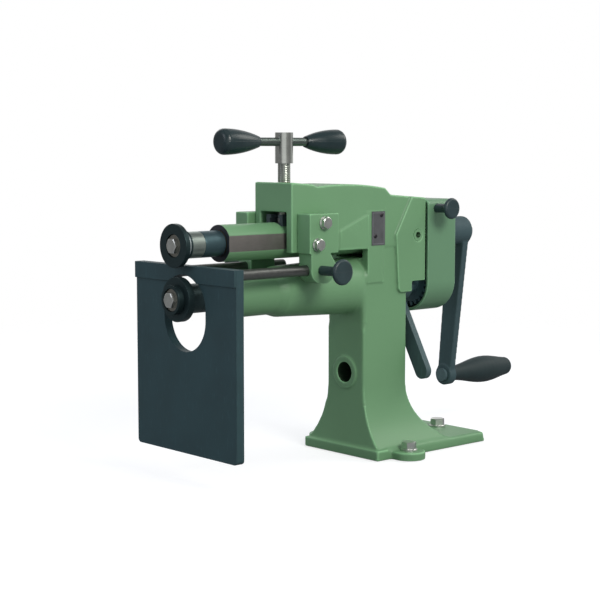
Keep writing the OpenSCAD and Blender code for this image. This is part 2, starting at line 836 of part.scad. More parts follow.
module cheek_outline() {
    polygon([
        [cheek_foot_x, cheek_low_z + cheek_corner_r],
        [cheek_ridge_x[0], cheek_ridge_z],
        [cheek_ridge_x[1], cheek_top_z],
        [cheek_rear, rear_top_z - rear_fall],
        [cheek_rear, cheek_step_z],
        [notch_at, cheek_step_z],
        [notch_at, cheek_low_z],
        [cheek_foot_x + cheek_corner_r, cheek_low_z]
    ]);
    translate([cheek_foot_x + cheek_corner_r, cheek_low_z + cheek_corner_r])
        circle(cheek_corner_r);
}

// Room for the arm: the long channel, and the wider chamber between the cheeks
module arm_room() {
    channel = [-channel_w / 2, channel_w / 2];
    chamber = [-chamber_w / 2, chamber_w / 2];
    block([-head_front - cut, neck_x], channel, [wall_z - cut, roof_z]);
    block([neck_x - cut, -chamber_front + cut], channel, [floor_z, roof_z]);
    block([-chamber_front, cheek_rear + cut], chamber, [floor_z, roof_z]);
    block([col_x[1], cheek_rear + cut], chamber, [cheek_low_z - cut, floor_z + cut]);
}

// Tabs between the cheeks' rear ends and the inside of the cover, with thin necks at the seam
module cover_tabs() {
    neck_y = [tab_y[0] + tab_neck_t, tab_y[1] + cut];
    difference() {
        intersection() {
            for (s = [-1, 1])
                block(tab_x, s > 0 ? tab_y : [-tab_y[1], -tab_y[0]], tab_z);
            along(tab_x)
                cover_outline(cover_t + seat_clear);
        }
        for (s = [-1, 1])
            block(tab_neck_x, s > 0 ? neck_y : [-neck_y[1], -neck_y[0]], [tab_z[0] - cut, tab_z[1] + cut]);
    }
}

module bracket_bolt_places() {
    for (at = bracket_bolt_at)
        translate([at[0], 0, at[1]])
            children();
}

module body_casting() {
    color(enamel)
        difference() {
            union() {
                difference() {
                    union() {
                        base_plate();
                        flare();
                        block(col_x, [-col_w / 2, col_w / 2], [base_t, pad_z]);
                        block([neck_x, col_x[1]], [-col_w / 2, col_w / 2], [pad_z - cut, shelf_z + cut]);
                        bar_x([col_x[0] - core_ring_t, col_x[0] + cut], core_hole_d + 2 * core_ring_w,
                            z = core_hole_z);
                        across([-head_w / 2, head_w / 2])
                            head_outline();
                        across([-cheek_w / 2, cheek_w / 2])
                            cheek_outline();
                    }
                    arm_room();
                }
                horn();
                bar_x([spigot_x[0] - cut, spigot_x[1]], spigot_d, z = lower_axis_z);
                cover_tabs();
            }
            for (s = [-1, 1])
                bar_z([-cut, base_t + lug_t], bench_hole_d, lug_x, s * lug_y);
            bar_z([-cut, base_t + cut], bench_hole_d, bolt_r, 0);
            bar_x([col_x[0] - core_ring_t - cut, col_x[0] + core_depth], core_hole_d, z = core_hole_z);
            bar_x([-horn_front - cut, -horn_front + bush_l], bush_bore, z = lower_axis_z);
            bar_x([-horn_front + bush_l, rear_bush_x[0]], horn_core_d, z = lower_axis_z);
            bar_x([rear_bush_x[0] - cut, rear_bush_x[1]], bush_bore, z = lower_axis_z);
            bar_x([rear_bush_x[1], spigot_x[1] + cut], sleeve_bore, z = lower_axis_z);
            bar_z([roof_z - cut, block_top_z + cut], nut_d + 2 * seat_clear, -spindle_at);
            bar_y([-cheek_w / 2 - cut, cheek_w / 2 + cut], pivot_d + 2 * seat_clear, pivot_x, arm_z);
            for (side = [0, 1])
                bracket_bolt_holes(side);
            for (s = [-1, 1])
                bar_y(s > 0 ? [tab_y[0] - cut, tab_y[1] + cut] : [-tab_y[1] - cut, -tab_y[0] + cut],
                    m6_d + 2 * seat_clear, cover_knob_x, cover_knob_z);
            rivet_places()
                bar_y([-head_w / 2 - cut, -head_w / 2 + rivet_l + end_gap], rivet_d + 2 * seat_clear);
        }
}

module bracket_bolt_holes(side) {
    if (side == 0)
        bracket_bolt_places()
            bar_y([-head_w / 2 - cut, -head_w / 2 + bolt_depth], m6_d + 2 * seat_clear);
    else
        far_side()
            bracket_bolt_places()
                bar_y([-head_w / 2 - cut, -head_w / 2 + bolt_depth], m6_d + 2 * seat_clear);
}

module cover_outline(inset) {
    w = cover_w - 2 * inset;
    r = max(cover_corner_r - inset, 1);
    top = cover_top_z - inset;
    translate([0, lower_axis_z])
        circle(d = w);
    translate([-w / 2, lower_axis_z])
        square([w, top - r - lower_axis_z]);
    translate([-w / 2 + r, top - r - cut])
        square([w - 2 * r, r + cut]);
    for (s = [-1, 1])
        translate([s * (w / 2 - r), top - r])
            circle(r);
}

module gear_cover() {
    color(enamel)
        difference() {
            along(cover_x)
                cover_outline(0);
            along([cover_x[0] - cut, cover_x[1] - cover_t])
                cover_outline(cover_t);
            bar_x([cover_x[1] - cover_t - cut, cover_x[1] + cut], cover_hole_d, z = upper_axis_z);
            bar_y([-cover_w / 2 - cut, cover_w / 2 + cut], m6_d + 2 * run_clear, cover_knob_x, cover_knob_z);
        }
}

module cover_bolt() {
    face = cover_w / 2;
    color(steel) {
        bar_y([face, face + m6_head_h], hex_d(m6_head_af), cover_knob_x, cover_knob_z, 6);
        bar_y([tab_y[0] + cut, face], m6_d, cover_knob_x, cover_knob_z);
    }
}

module rivet_places() {
    places = [
        [plate_x[1] - upper_rivet_in, plate_z[1] - upper_rivet_drop],
        [plate_x[0] + lower_rivet_in, plate_z[0] + lower_rivet_rise]
    ];
    for (at = places)
        translate([at[0], 0, at[1]])
            children();
}

module name_plate() {
    color(plate_metal)
        difference() {
            block(plate_x, [-head_w / 2 - plate_t, -head_w / 2], plate_z);
            rivet_places()
                bar_y([-head_w / 2 - plate_t - cut, -head_w / 2 + cut], rivet_d + 2 * seat_clear);
        }
}

module plate_rivets() {
    head_y = -head_w / 2 - plate_t;
    color(steel)
        rivet_places() {
            bar_y([head_y - rivet_head_t, head_y], rivet_head_d);
            bar_y([head_y, -head_w / 2 + rivet_l], rivet_d);
        }
}

// What is cut off to round a lower corner of the bracket's boss: s is -1 in front and 1 at the rear
module boss_corner(s) {
    side = boss_r + cut;
    translate([s < 0 ? boss_x[0] + boss_r : boss_x[1] - boss_r, rod_z])
        difference() {
            translate([s < 0 ? -side : 0, -side])
                square(side);
            circle(boss_r);
        }
}

module rod_bracket() {
    difference() {
        across(bracket_y)
            difference() {
                polygon([
                    [bracket_x[0], bracket_top_z],
                    [bracket_x[1], bracket_top_z],
                    [bracket_x[1], bracket_low_z],
                    [boss_x[0] + web_l, bracket_low_z],
                    [boss_x[1], rod_z + boss_r / 2],
                    [boss_x[1], rod_z - boss_r],
                    [boss_x[0], rod_z - boss_r],
                    [boss_x[0], bracket_low_z],
                    [bracket_x[0], bracket_low_z]
                ]);
                boss_corner(-1);
                boss_corner(1);
            }
        bar_x([bracket_x[0] - cut, bracket_x[1] + cut], rod_bore, -rod_y, rod_z);
        bar_y([bracket_y[0] - cut, -rod_y], m6_d + 2 * run_clear, clamp_x, rod_z);
        bracket_bolt_places()
            bar_y([bracket_y[0] - cut, bracket_y[1] + cut], m6_d + 2 * run_clear);
    }
}

module rod_bracket_near() {
    color(enamel)
        rod_bracket();
}

module rod_bracket_far() {
    color(enamel)
        far_side()
            rod_bracket();
}

module bracket_bolt_pair() {
    head_y = bracket_y[0] - m6_washer_t;
    bracket_bolt_places() {
        bar_y([head_y - m6_head_h, head_y], hex_d(m6_head_af), fn = 6);
        bar_y([head_y, -head_w / 2 + bolt_depth - end_gap], m6_d);
    }
}

module bracket_bolts() {
    color(steel) {
        bracket_bolt_pair();
        far_side()
            bracket_bolt_pair();
    }
}

module bracket_washer_pair() {
    bracket_bolt_places()
        difference() {
            bar_y([bracket_y[0] - m6_washer_t, bracket_y[0]], m6_washer_d);
            bar_y([bracket_y[0] - m6_washer_t - cut, bracket_y[0] + cut], m6_d + 2 * run_clear);
        }
}

module bracket_washers() {
    color(steel) {
        bracket_washer_pair();
        far_side()
            bracket_washer_pair();
    }
}

module spindle_nut() {
    color(bronze)
        difference() {
            bar_z([roof_z, block_top_z - block_rise / 2], nut_d, -spindle_at);
            bar_z([roof_z - cut, block_top_z + cut], spindle_d + 2 * run_clear, -spindle_at);
        }
}

module lower_bush_front() {
    color(bronze)
        ring_x([-horn_front, -horn_front + bush_l], bush_d, shaft_bore, lower_axis_z);
}

module lower_bush_rear() {
    color(bronze)
        ring_x(rear_bush_x, bush_d, shaft_bore, lower_axis_z);
}

module pivot_screw() {
    difference() {
        bar_y([-cheek_w / 2, -pivot_tip], pivot_d, pivot_x, arm_z);
        bar_y([-cheek_w / 2 - cut, -cheek_w / 2 + pivot_hex_l], hex_d(pivot_hex), pivot_x, arm_z, 6);
    }
}

module pivot_screws() {
    color(blacking) {
        pivot_screw();
        mirror([0, 1, 0])
            pivot_screw();
    }
}

module saddle_screw_places() {
    for (x = [saddle_x[0] + saddle_screw_inset, saddle_x[1] - saddle_screw_inset], s = [-1, 1])
        translate([x, s * saddle_screw_y, 0])
            children();
}

module upper_arm() {
    side = arm_d;
    color(enamel)
        difference() {
            union() {
                bar_x([-arm_front, trunnion_x[0] + cut], arm_d, z = arm_z);
                block(trunnion_x, [-trunnion_w / 2, trunnion_w / 2], [arm_z - arm_d / 2, arm_z + arm_d / 2]);
                block(saddle_x, [-saddle_w / 2, saddle_w / 2], [arm_z, seat_z]);
            }
            for (s = [-1, 1])
                block([-arm_front - cut, -arm_flat_end],
                    s > 0 ? [arm_flat_w / 2, side] : [-side, -arm_flat_w / 2],
                    [arm_z - side, arm_z + side]);
            block([saddle_x[0] - cut, saddle_x[1] + cut], [-side, side], [seat_z, arm_z + side]);
            bar_x([-arm_front - cut, arm_rear + cut], arm_core_d, z = arm_z);
            bar_x([-arm_front - cut, -arm_front + bush_l], bush_bore, z = arm_z);
            bar_x([arm_rear - bush_l, arm_rear + cut], bush_bore, z = arm_z);
            for (s = [-1, 1])
                bar_y(s > 0 ? [pivot_tip - end_gap, trunnion_w] : [-trunnion_w, end_gap - pivot_tip],
                    pivot_bore, pivot_x, arm_z);
            saddle_screw_places()
                bar_z([seat_z - saddle_screw_l - end_gap, seat_z + cut], saddle_screw_d + 2 * seat_clear);
        }
}

module upper_bush_front() {
    color(bronze)
        ring_x([-arm_front, -arm_front + bush_l], bush_d, shaft_bore, arm_z);
}

module upper_bush_rear() {
    color(bronze)
        ring_x([arm_rear - bush_l, arm_rear], bush_d, shaft_bore, arm_z);
}

module thrust_saddle() {
    long = [saddle_x[0] - cut, saddle_x[1] + cut];
    color(blacking)
        difference() {
            block(saddle_x, [-saddle_w / 2, saddle_w / 2], [seat_z, saddle_top_z]);
            block(long, [-slot_w / 2, slot_w / 2], [slot_z, slot_z + slot_h]);
            block(long, [-lip_w / 2, lip_w / 2], [slot_z, saddle_top_z + cut]);
            saddle_screw_places()
                bar_z([seat_z - cut, saddle_top_z + cut], saddle_screw_d + 2 * seat_clear);
        }
}

module saddle_screws() {
    color(steel)
        saddle_screw_places()
            bar_z([seat_z - saddle_screw_l, saddle_top_z - face_gap], saddle_screw_d);
}

module upper_shaft() {
    color(steel)
        difference() {
            union() {
                bar_x([nose_step_x, upper_end_x], shaft_d, z = upper_axis_z);
                bar_x([upper_nose_x, nose_step_x + cut], nose_d, z = upper_axis_z);
            }
            key_on(upper_roll_key_x, nose_d, upper_axis_z, cut);
            key_on(gear_key_x, shaft_d, upper_axis_z, cut);
            key_on(crank_key_x, shaft_d, upper_axis_z, cut);
            bar_x([upper_nose_x - cut, upper_nose_x + bolt_hole_l], roll_bolt_bore, z = upper_axis_z);
            bar_x([upper_end_x - bolt_hole_l, upper_end_x + cut], roll_bolt_bore, z = upper_axis_z);
        }
}

module upper_collar() {
    color(blacking)
        ring_x(collar_x, spacer_d, roll_bore, upper_axis_z);
}

module upper_spacer() {
    color(steel)
        ring_x(spacer_x, spacer_d, roll_bore, upper_axis_z);
}

module upper_roll() {
    rim = upper_roll_x[0] + upper_flange_t;
    color(blacking)
        difference() {
            union() {
                bar_x([upper_roll_x[0], rim], upper_roll_d, z = upper_axis_z);
                bar_x([rim - cut, upper_roll_x[1]], upper_hub_d, z = upper_axis_z);
            }
            bar_x([upper_roll_x[0] - cut, upper_roll_x[1] + cut], roll_bore, z = upper_axis_z);
            bar_x([upper_roll_x[0] - cut, upper_roll_x[0] + recess_t], recess_d, z = upper_axis_z);
            key_on([upper_roll_x[0], upper_roll_x[1] + cut], nose_d, upper_axis_z);
        }
}

module upper_roll_key() {
    color(steel)
        key_on(upper_roll_key_x, nose_d, upper_axis_z);
}

module roll_washer(face_x, z) {
    ring_x([face_x + recess_t - roll_washer_t, face_x + recess_t], roll_washer_d,
        roll_bolt_bore, z);
}

module roll_bolt(face_x, z) {
    seat = face_x + recess_t - roll_washer_t;
    head_h = 0.5 * roll_bolt_d;
    bar_x([seat - head_h, seat], hex_d(1.6 * roll_bolt_d), z = z, fn = 6);
    bar_x([seat, seat + bolt_hole_l], roll_bolt_d, z = z);
}

module upper_roll_washer() {
    color(steel)
        roll_washer(upper_roll_x[0], upper_axis_z);
}

module upper_roll_bolt() {
    color(steel)
        roll_bolt(upper_roll_x[0], upper_axis_z);
}

// Half the angle that a tooth takes up at radius r, where base_r is the radius of the base circle
function tooth_half(r, base_r) =
    90 / gear_teeth - 90 * backlash / (PI * shaft_gap) * 2
    + inv(pressure_angle) - inv(acos(min(1, base_r / max(r, base_r))));

module gear_outline(first) {
    pitch_r = gear_module * gear_teeth / 2;
    base_r = pitch_r * cos(pressure_angle);
    radii = [pitch_r - 1.25 * gear_module, base_r, pitch_r, pitch_r + gear_module];
    flank = [for (r = radii) [r, tooth_half(r, base_r)]];
    polygon([
        for (i = [0 : gear_teeth - 1])
            let (mid = first + 360 * i / gear_teeth)
                each concat(
                    [for (p = flank) p[0] * [cos(mid - p[1]), sin(mid - p[1])]],
                    [for (k = [len(flank) - 1 : -1 : 0])
                        flank[k][0] * [cos(mid + flank[k][1]), sin(mid + flank[k][1])]]
                )
    ]);
}

module gear(hub_x, first, z) {
    difference() {
        union() {
            translate([gear_x[0], 0, z])
                rotate([90, 0, 90])
                    linear_extrude(gear_w)
                        gear_outline(first);
            bar_x(hub_x, gear_hub_d, z = z);
        }
        bar_x([hub_x[0] - cut, hub_x[1] + cut], hub_bore, z = z);
        key_on([hub_x[0] - cut, hub_x[1] + cut], shaft_d, z);
    }
}

module upper_gear() {
    color(blacking)
        gear(upper_gear_hub_x, -90, upper_axis_z);
}

module upper_gear_key() {
    color(steel)
        key_on(gear_key_x, shaft_d, upper_axis_z);
}

// Places its children with X along the crank, from the upper shaft's axis to the grip
module on_crank(x) {
    translate([x, 0, upper_axis_z])
        rotate([crank_angle, 0, 0])
            rotate([0, 90, 0])
                children();
}

module crank_arm() {
    color(blacking)
        difference() {
            union() {
                bar_x(crank_x, crank_hub_d, z = upper_axis_z);
                on_crank(crank_arm_x[0])
                    linear_extrude(crank_t)
                        link(crank_w0, crank_w1, crank_r);
                on_crank(crank_arm_x[0] - boss_lip)
                    translate([crank_r, 0, 0])
                        cylinder(h = crank_t + 2 * boss_lip, d = grip_boss_d);
            }
            bar_x([crank_x[0] - cut, crank_x[1] + cut], hub_bore, z = upper_axis_z);
            key_on([crank_x[0] - cut, crank_x[1] + cut], shaft_d, upper_axis_z);
            on_crank(crank_arm_x[0] - boss_lip - cut)
                translate([crank_r, 0, 0])
                    cylinder(h = crank_t + 2 * boss_lip + 2 * cut, d = grip_pin_d + 2 * seat_clear);
        }
}

module crank_key() {
    color(steel)
        key_on(crank_key_x, shaft_d, upper_axis_z);
}

module crank_washer() {
    color(steel)
        ring_x([crank_x[1], crank_x[1] + roll_washer_t], crank_hub_d - 2 * washer_edge,
            roll_bolt_bore, upper_axis_z);
}

module crank_bolt() {
    seat = crank_x[1] + roll_washer_t;
    color(steel) {
        bar_x([seat, seat + 0.65 * roll_bolt_d], hex_d(1.6 * roll_bolt_d), z = upper_axis_z, fn = 6);
        bar_x([upper_end_x - bolt_hole_l + 2 * end_gap, seat], roll_bolt_d, z = upper_axis_z);
    }
}

module grip_pin() {
    pin_seat = crank_arm_x[0] - boss_lip;
    color(steel)
        on_crank(0)
            translate([crank_r, 0, 0]) {
                translate([0, 0, pin_seat - grip_head_t])
                    cylinder(h = grip_head_t, d = 1.7 * grip_pin_d);
                translate([0, 0, pin_seat])
                    cylinder(h = grip_x[1] - grip_cap - end_gap - pin_seat, d = grip_pin_d);
            }
}

// Swelling of the crank grip along its length, from 0 at its foot to 1 at the belly
function swell(t) = t < 0.6 ? (1 - cos(180 * t / 0.6)) / 2 : 1 - 0.75 * (1 - cos(180 * (t - 0.6) / 0.5)) / 2;

module crank_grip() {
    end_r = 5;
    steps = 14;
    long = crank_grip_l - end_r;
    function grip_r(t) = grip_foot_d / 2 + (grip_belly_d - grip_foot_d) / 2 * swell(t);
    color(plastic)
        on_crank(grip_x[0])
            translate([crank_r, 0, 0])
                difference() {
                    rotate_extrude() {
                        polygon(concat(
                            [[0, 0]],
                            [for (i = [0 : steps]) [grip_r(i / steps), long * i / steps]],
                            [[0, long]]
                        ));
                        translate([0, long - end_r])
                            square([grip_r(1) - end_r, 2 * end_r]);
                        translate([grip_r(1) - end_r, long])
                            intersection() {
                                circle(end_r);
                                square(2 * end_r);
                            }
                    }
                    translate([0, 0, -cut])
                        cylinder(h = crank_grip_l - grip_cap + cut, d = grip_pin_d + 2 * run_clear);
                }
}

module thrust_sleeve() {
    color(steel)
        difference() {
            union() {
                bar_x(sleeve_x, sleeve_d, z = lower_axis_z);
                bar_x(flange_x, flange_d, z = lower_axis_z);
            }
            bar_x([sleeve_x[0] - cut, sleeve_x[1] + cut], shaft_bore, z = lower_axis_z);
        }
}

module lower_shaft() {
    color(steel)
        difference() {
            union() {
                bar_x([lower_spacer_x[1], lower_end_x], shaft_d, z = lower_axis_z);
                bar_x([lower_nose_x, lower_spacer_x[1] + cut], nose_d, z = lower_axis_z);
            }
            key_on(lower_roll_key_x, nose_d, lower_axis_z, cut);
            key_on(gear_key_x, shaft_d, lower_axis_z, cut);
            bar_x([lower_nose_x - cut, lower_nose_x + bolt_hole_l], roll_bolt_bore, z = lower_axis_z);
        }
}

module lower_spacer() {
    color(blacking)
        ring_x(lower_spacer_x, lower_hub_d, roll_bore, lower_axis_z);
}

module lower_roll() {
    color(blacking)
        difference() {
            union() {
                bar_x(lower_roll_x, lower_hub_d, z = lower_axis_z);
                bar_x(lower_rim_x, lower_roll_d, z = lower_axis_z);
            }
            bar_x([lower_roll_x[0] - cut, lower_roll_x[1] + cut], roll_bore, z = lower_axis_z);
            bar_x([lower_roll_x[0] - cut, lower_roll_x[0] + recess_t], recess_d, z = lower_axis_z);
            key_on([lower_roll_x[0], lower_roll_x[1] + cut], nose_d, lower_axis_z);
        }
}

module lower_roll_key() {
    color(steel)
        key_on(lower_roll_key_x, nose_d, lower_axis_z);
}

module lower_roll_washer() {
    color(steel)
        roll_washer(lower_roll_x[0], lower_axis_z);
}

module lower_roll_bolt() {
    color(steel)
        roll_bolt(lower_roll_x[0], lower_axis_z);
}

module lower_gear() {
    color(blacking)
        gear(lower_gear_hub_x, 90 + 180 / gear_teeth, lower_axis_z);
}

module lower_gear_key() {
    color(steel)
        key_on(gear_key_x, shaft_d, lower_axis_z);
}

module lower_gear_nut() {
    color(steel)
        difference() {
            bar_x(lower_nut_x, hex_d(1.5 * shaft_d), z = lower_axis_z, fn = 6);
            bar_x([lower_nut_x[0] - cut, lower_nut_x[1] + cut], hub_bore, z = lower_axis_z);
        }
}

module adjusting_ring() {
    color(blacking)
        ring_x(ring_x, ring_d, spigot_d + 2 * run_clear, lower_axis_z);
}

module adjusting_lever() {
    color(blacking)
        difference() {
            translate([lever_x[0], 0, lower_axis_z])
                rotate([-lever_angle, 0, 0])
                    rotate([0, 90, 0])
                        linear_extrude(lever_t)
                            union() {
                                translate([0, lever_offset - lever_w / 2])
                                    square([lever_l, lever_w]);
                                translate([lever_l, lever_offset])
                                    circle(d = lever_w);
                            }
            bar_x([lever_x[0] - cut, lever_x[1] + cut], ring_d + 2 * seat_clear, z = lower_axis_z);
        }
}

module fence_hole() {
    for (z = [hole_low_z + fence_hole_r, hole_top_z - fence_hole_r])
        translate([0, z])
            circle(fence_hole_r);
    translate([-fence_hole_r, hole_low_z + fence_hole_r])
        square([2 * fence_hole_r, fence_hole_h - 2 * fence_hole_r]);
}

module fence_plate() {
    mid_z = (fence_top_z + fence_low_z) / 2;
    color(blacking)
        difference() {
            along(fence_x)
                difference() {
                    union() {
                        translate([0, mid_z])
                            rounded([fence_w, fence_h], fence_corner_r);
                        translate([-fence_w / 2, mid_z])
                            square([fence_w, fence_h / 2]);
                    }
                    fence_hole();
                }
            for (s = [-1, 1])
                bar_x([rod_x[0], fence_x[1] + cut], rod_d + 2 * seat_clear, s * rod_y, rod_z);
        }
}

module fence_strip() {
    color(blacking)
        along(strip_x)
            difference() {
                translate([-fence_w / 2, fence_top_z - strip_h])
                    square([fence_w, strip_h]);
                fence_hole();
            }
}

module fence_rods() {
    color(steel)
        for (s = [-1, 1])
            bar_x(rod_x, rod_d, s * rod_y, rod_z);
}

// Mushroom knob along +Z with its foot at 0, moulded round the end of its screw
module knob(head_d, head_h, h) {
    rim_x = head_d / 2 - knob_rim_r;
    difference() {
        rotate_extrude() {
            polygon([
                [0, 0], [knob_neck_d / 2, 0], [knob_neck_d / 2, h - head_h],
                [rim_x, h - 2 * knob_rim_r], [rim_x, h], [0, h]
            ]);
            translate([rim_x, h - knob_rim_r])
                circle(knob_rim_r);
        }
        translate([0, 0, -cut])
            cylinder(h = h - knob_cap + cut, d = m6_d + 2 * seat_clear);
    }
}

module knob_out(x, y, z) {
    translate([x, y, z])
        rotate([90, 0, 0])
            children();
}

module rod_knob() {
    knob_out(clamp_x, bracket_y[0] - knob_gap, rod_z)
        knob(rod_knob_d, rod_knob_head_h, rod_knob_h);
}

module rod_knob_screw() {
    bar_y([bracket_y[0] - knob_gap - rod_knob_h + knob_cap, -clamp_tip_y], m6_d, clamp_x, rod_z);
}

module rod_knob_near() {
    color(plastic)
        rod_knob();
}

module rod_knob_screw_near() {
    color(steel)
        rod_knob_screw();
}

module rod_knob_far() {
    color(plastic)
        far_side()
            rod_knob();
}

module rod_knob_screw_far() {
    color(steel)
        far_side()
            rod_knob_screw();
}

module cover_knob() {
    color(plastic)
        knob_out(cover_knob_x, -cover_w / 2 - knob_gap, cover_knob_z)
            knob(cover_knob_d, cover_knob_head_h, cover_knob_h);
}

module cover_knob_screw() {
    color(steel)
        bar_y([-cover_w / 2 - knob_gap - cover_knob_h + knob_cap, -tab_y[0] - cut], m6_d,
            cover_knob_x, cover_knob_z);
}

module thrust_button() {
    pin_bore = spindle_pin_d + 2 * run_clear;
    color(steel)
        difference() {
            union() {
                bar_z([button_z, button_z + button_t], button_d, -spindle_at);
                bar_z([button_z, button_top_z], button_neck_d, -spindle_at);
            }
            bar_z([button_top_z - spindle_pin_l, button_top_z + cut], pin_bore, -spindle_at);
        }
}

module spindle() {
    shoulder = button_top_z + face_gap;
    color(steel) {
        bar_z([shoulder, spindle_top_z], spindle_d, -spindle_at);
        bar_z([shoulder - spindle_pin_l + end_gap, shoulder + cut], spindle_pin_d, -spindle_at);
    }
}

module spindle_hub() {
    color(steel)
        difference() {
            bar_z(hub_z, hub_d, -spindle_at);
            bar_z([hub_z[0] - cut, spindle_top_z + face_gap], spindle_d + 2 * seat_clear, -spindle_at);
            bar_x([-spindle_at - hub_d, -spindle_at + hub_d], tee_d + 2 * seat_clear, z = tee_z);
        }
}

module tee_bar() {
    color(steel)
        bar_x([tee_x - tee_bar_l / 2, tee_x + tee_bar_l / 2], tee_d, z = tee_z);
}

// Bullet-shaped grip along +Z, thin end at 0
module tee_grip() {
    belly = tee_grip_l - tee_grip_edge;
    bow_r = flare_r((tee_grip_d - tee_neck_d) / 2, belly);
    difference() {
        rotate_extrude() {
            intersection() {
                translate([tee_grip_d / 2 - bow_r, belly])
                    circle(bow_r);
                square([tee_grip_d, belly]);
            }
            translate([0, belly - cut])
                square([tee_grip_d / 2 - tee_grip_edge, tee_grip_edge + cut]);
            translate([tee_grip_d / 2 - tee_grip_edge, belly])
                intersection() {
                    circle(tee_grip_edge);
                    square(2 * tee_grip_edge);
                }
        }
        translate([0, 0, -cut])
            cylinder(h = tee_grip_l - tee_grip_cap + cut, d = tee_d + 2 * seat_clear);
    }
}

module tee_grips() {
    color(plastic)
        for (a = [90, -90])
            translate([tee_x, 0, tee_z])
                rotate([0, a, 0])
                    translate([0, 0, tee_l / 2 - tee_grip_l])
                        tee_grip();
}

body_casting();
gear_cover();
cover_bolt();
name_plate();
plate_rivets();
rod_bracket_near();
rod_bracket_far();
bracket_bolts();
bracket_washers();
spindle_nut();
lower_bush_front();
lower_bush_rear();
pivot_screws();
upper_arm();
upper_bush_front();
upper_bush_rear();
thrust_saddle();
saddle_screws();
upper_shaft();
upper_collar();
upper_spacer();
upper_roll();
upper_roll_key();
upper_roll_washer();
upper_roll_bolt();
upper_gear();
upper_gear_key();
crank_arm();
crank_key();
crank_washer();
crank_bolt();
grip_pin();
crank_grip();
thrust_sleeve();
lower_shaft();
lower_spacer();
lower_roll();
lower_roll_key();
lower_roll_washer();
lower_roll_bolt();
lower_gear();
lower_gear_key();
lower_gear_nut();
adjusting_ring();
adjusting_lever();
fence_plate();
fence_strip();
fence_rods();
rod_knob_near();
rod_knob_screw_near();
rod_knob_far();
rod_knob_screw_far();
cover_knob();
cover_knob_screw();
thrust_button();
spindle();
spindle_hub();
tee_bar();
tee_grips();
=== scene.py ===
import json
import math

import bmesh
import bpy
from mathutils import Matrix, Vector


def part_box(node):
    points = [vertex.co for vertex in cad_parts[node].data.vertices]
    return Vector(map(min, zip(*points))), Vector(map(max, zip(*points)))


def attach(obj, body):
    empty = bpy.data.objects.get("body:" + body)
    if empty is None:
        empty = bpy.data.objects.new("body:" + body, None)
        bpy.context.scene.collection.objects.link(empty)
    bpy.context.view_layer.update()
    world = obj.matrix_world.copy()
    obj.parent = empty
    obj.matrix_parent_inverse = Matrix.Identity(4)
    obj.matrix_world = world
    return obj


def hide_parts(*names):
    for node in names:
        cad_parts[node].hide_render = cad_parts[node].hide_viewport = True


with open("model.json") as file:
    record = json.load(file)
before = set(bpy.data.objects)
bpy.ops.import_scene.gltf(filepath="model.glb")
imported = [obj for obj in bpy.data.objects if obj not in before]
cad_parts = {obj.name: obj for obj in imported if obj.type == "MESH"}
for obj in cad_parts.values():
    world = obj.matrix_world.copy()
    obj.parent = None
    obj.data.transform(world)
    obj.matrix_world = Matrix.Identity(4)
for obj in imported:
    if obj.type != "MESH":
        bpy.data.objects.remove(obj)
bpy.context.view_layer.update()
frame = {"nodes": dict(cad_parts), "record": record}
nodes = frame["nodes"]
scene = bpy.context.scene
scene.view_settings.view_transform = "Standard"


# Camera. The machine is seen from its roll end, turned to show its right-hand side, from a
# little above the bench and through a long lens, in a square picture.
picture_px = 600
focal_px = 1481.6
sensor_mm = 36.0
view_azimuth = math.radians(-41.64)
view_elevation = math.radians(5.87)
view_distance = 1.4141
view_centre = Vector((-0.12305, 0.0, 0.15625))

lens = bpy.data.cameras.new("picture_lens")
lens.sensor_width = sensor_mm
lens.lens = focal_px * sensor_mm / picture_px
camera = bpy.data.objects.new("picture_camera", lens)
camera.rotation_euler = (math.pi / 2 - view_elevation, 0, view_azimuth)
camera.location = view_centre + camera.rotation_euler.to_matrix() @ Vector((0, 0, view_distance))
scene.collection.objects.link(camera)
scene.camera = camera


# Studio. Large soft lamps, a white paper backdrop behind the machine and a pale paper floor
# that fades into it. The rest of the room is grey, so bright steel keeps its dark edges.
class Wire:
    """A shader socket that can be used in sums: each operator adds a Math node beside it."""

    def __init__(self, finish, socket):
        self.finish = finish
        self.socket = socket

    def __getitem__(self, output):
        return Wire(self.finish, self.socket.node.outputs[output])

    def math(self, operation, *terms):
        return self.finish.node("ShaderNodeMath", {"operation": operation}, dict(enumerate(terms)))

    def __add__(self, other):
        return self.math("ADD", self, other)

    def __radd__(self, other):
        return self.math("ADD", other, self)

    def __sub__(self, other):
        return self.math("SUBTRACT", self, other)

    def __rsub__(self, other):
        return self.math("SUBTRACT", other, self)

    def __mul__(self, other):
        return self.math("MULTIPLY", self, other)

    def __rmul__(self, other):
        return self.math("MULTIPLY", other, self)

    def __abs__(self):
        return self.math("ABSOLUTE", self)

    def __gt__(self, other):
        return self.math("GREATER_THAN", self, other)

    def __lt__(self, other):
        return self.math("LESS_THAN", self, other)


class Finish:
    """The node tree of a material or of the world."""

    def __init__(self, owner):
        owner.use_nodes = True
        self.owner = owner
        self.tree = owner.node_tree
        self.tree.nodes.clear()

    def node(self, kind, settings=None, sockets=None):
        made = self.tree.nodes.new(kind)
        for name, value in (settings or {}).items():
            setattr(made, name, value)
        for name, value in (sockets or {}).items():
            if isinstance(value, Wire):
                self.tree.links.new(value.socket, made.inputs[name])
            else:
                made.inputs[name].default_value = value
        return Wire(self, made.outputs[0]) if made.outputs else None


def ramp(finish, value, low, high):
    """0 at low, 1 at high, eased between them."""
    return finish.node(
        "ShaderNodeMapRange",
        {"interpolation_type": "SMOOTHSTEP"},
        {"Value": value, "From Min": low, "From Max": high},
    )


def split(finish, vector):
    parts = finish.node("ShaderNodeSeparateXYZ", {}, {0: vector})
    return parts["X"], parts["Y"], parts["Z"]


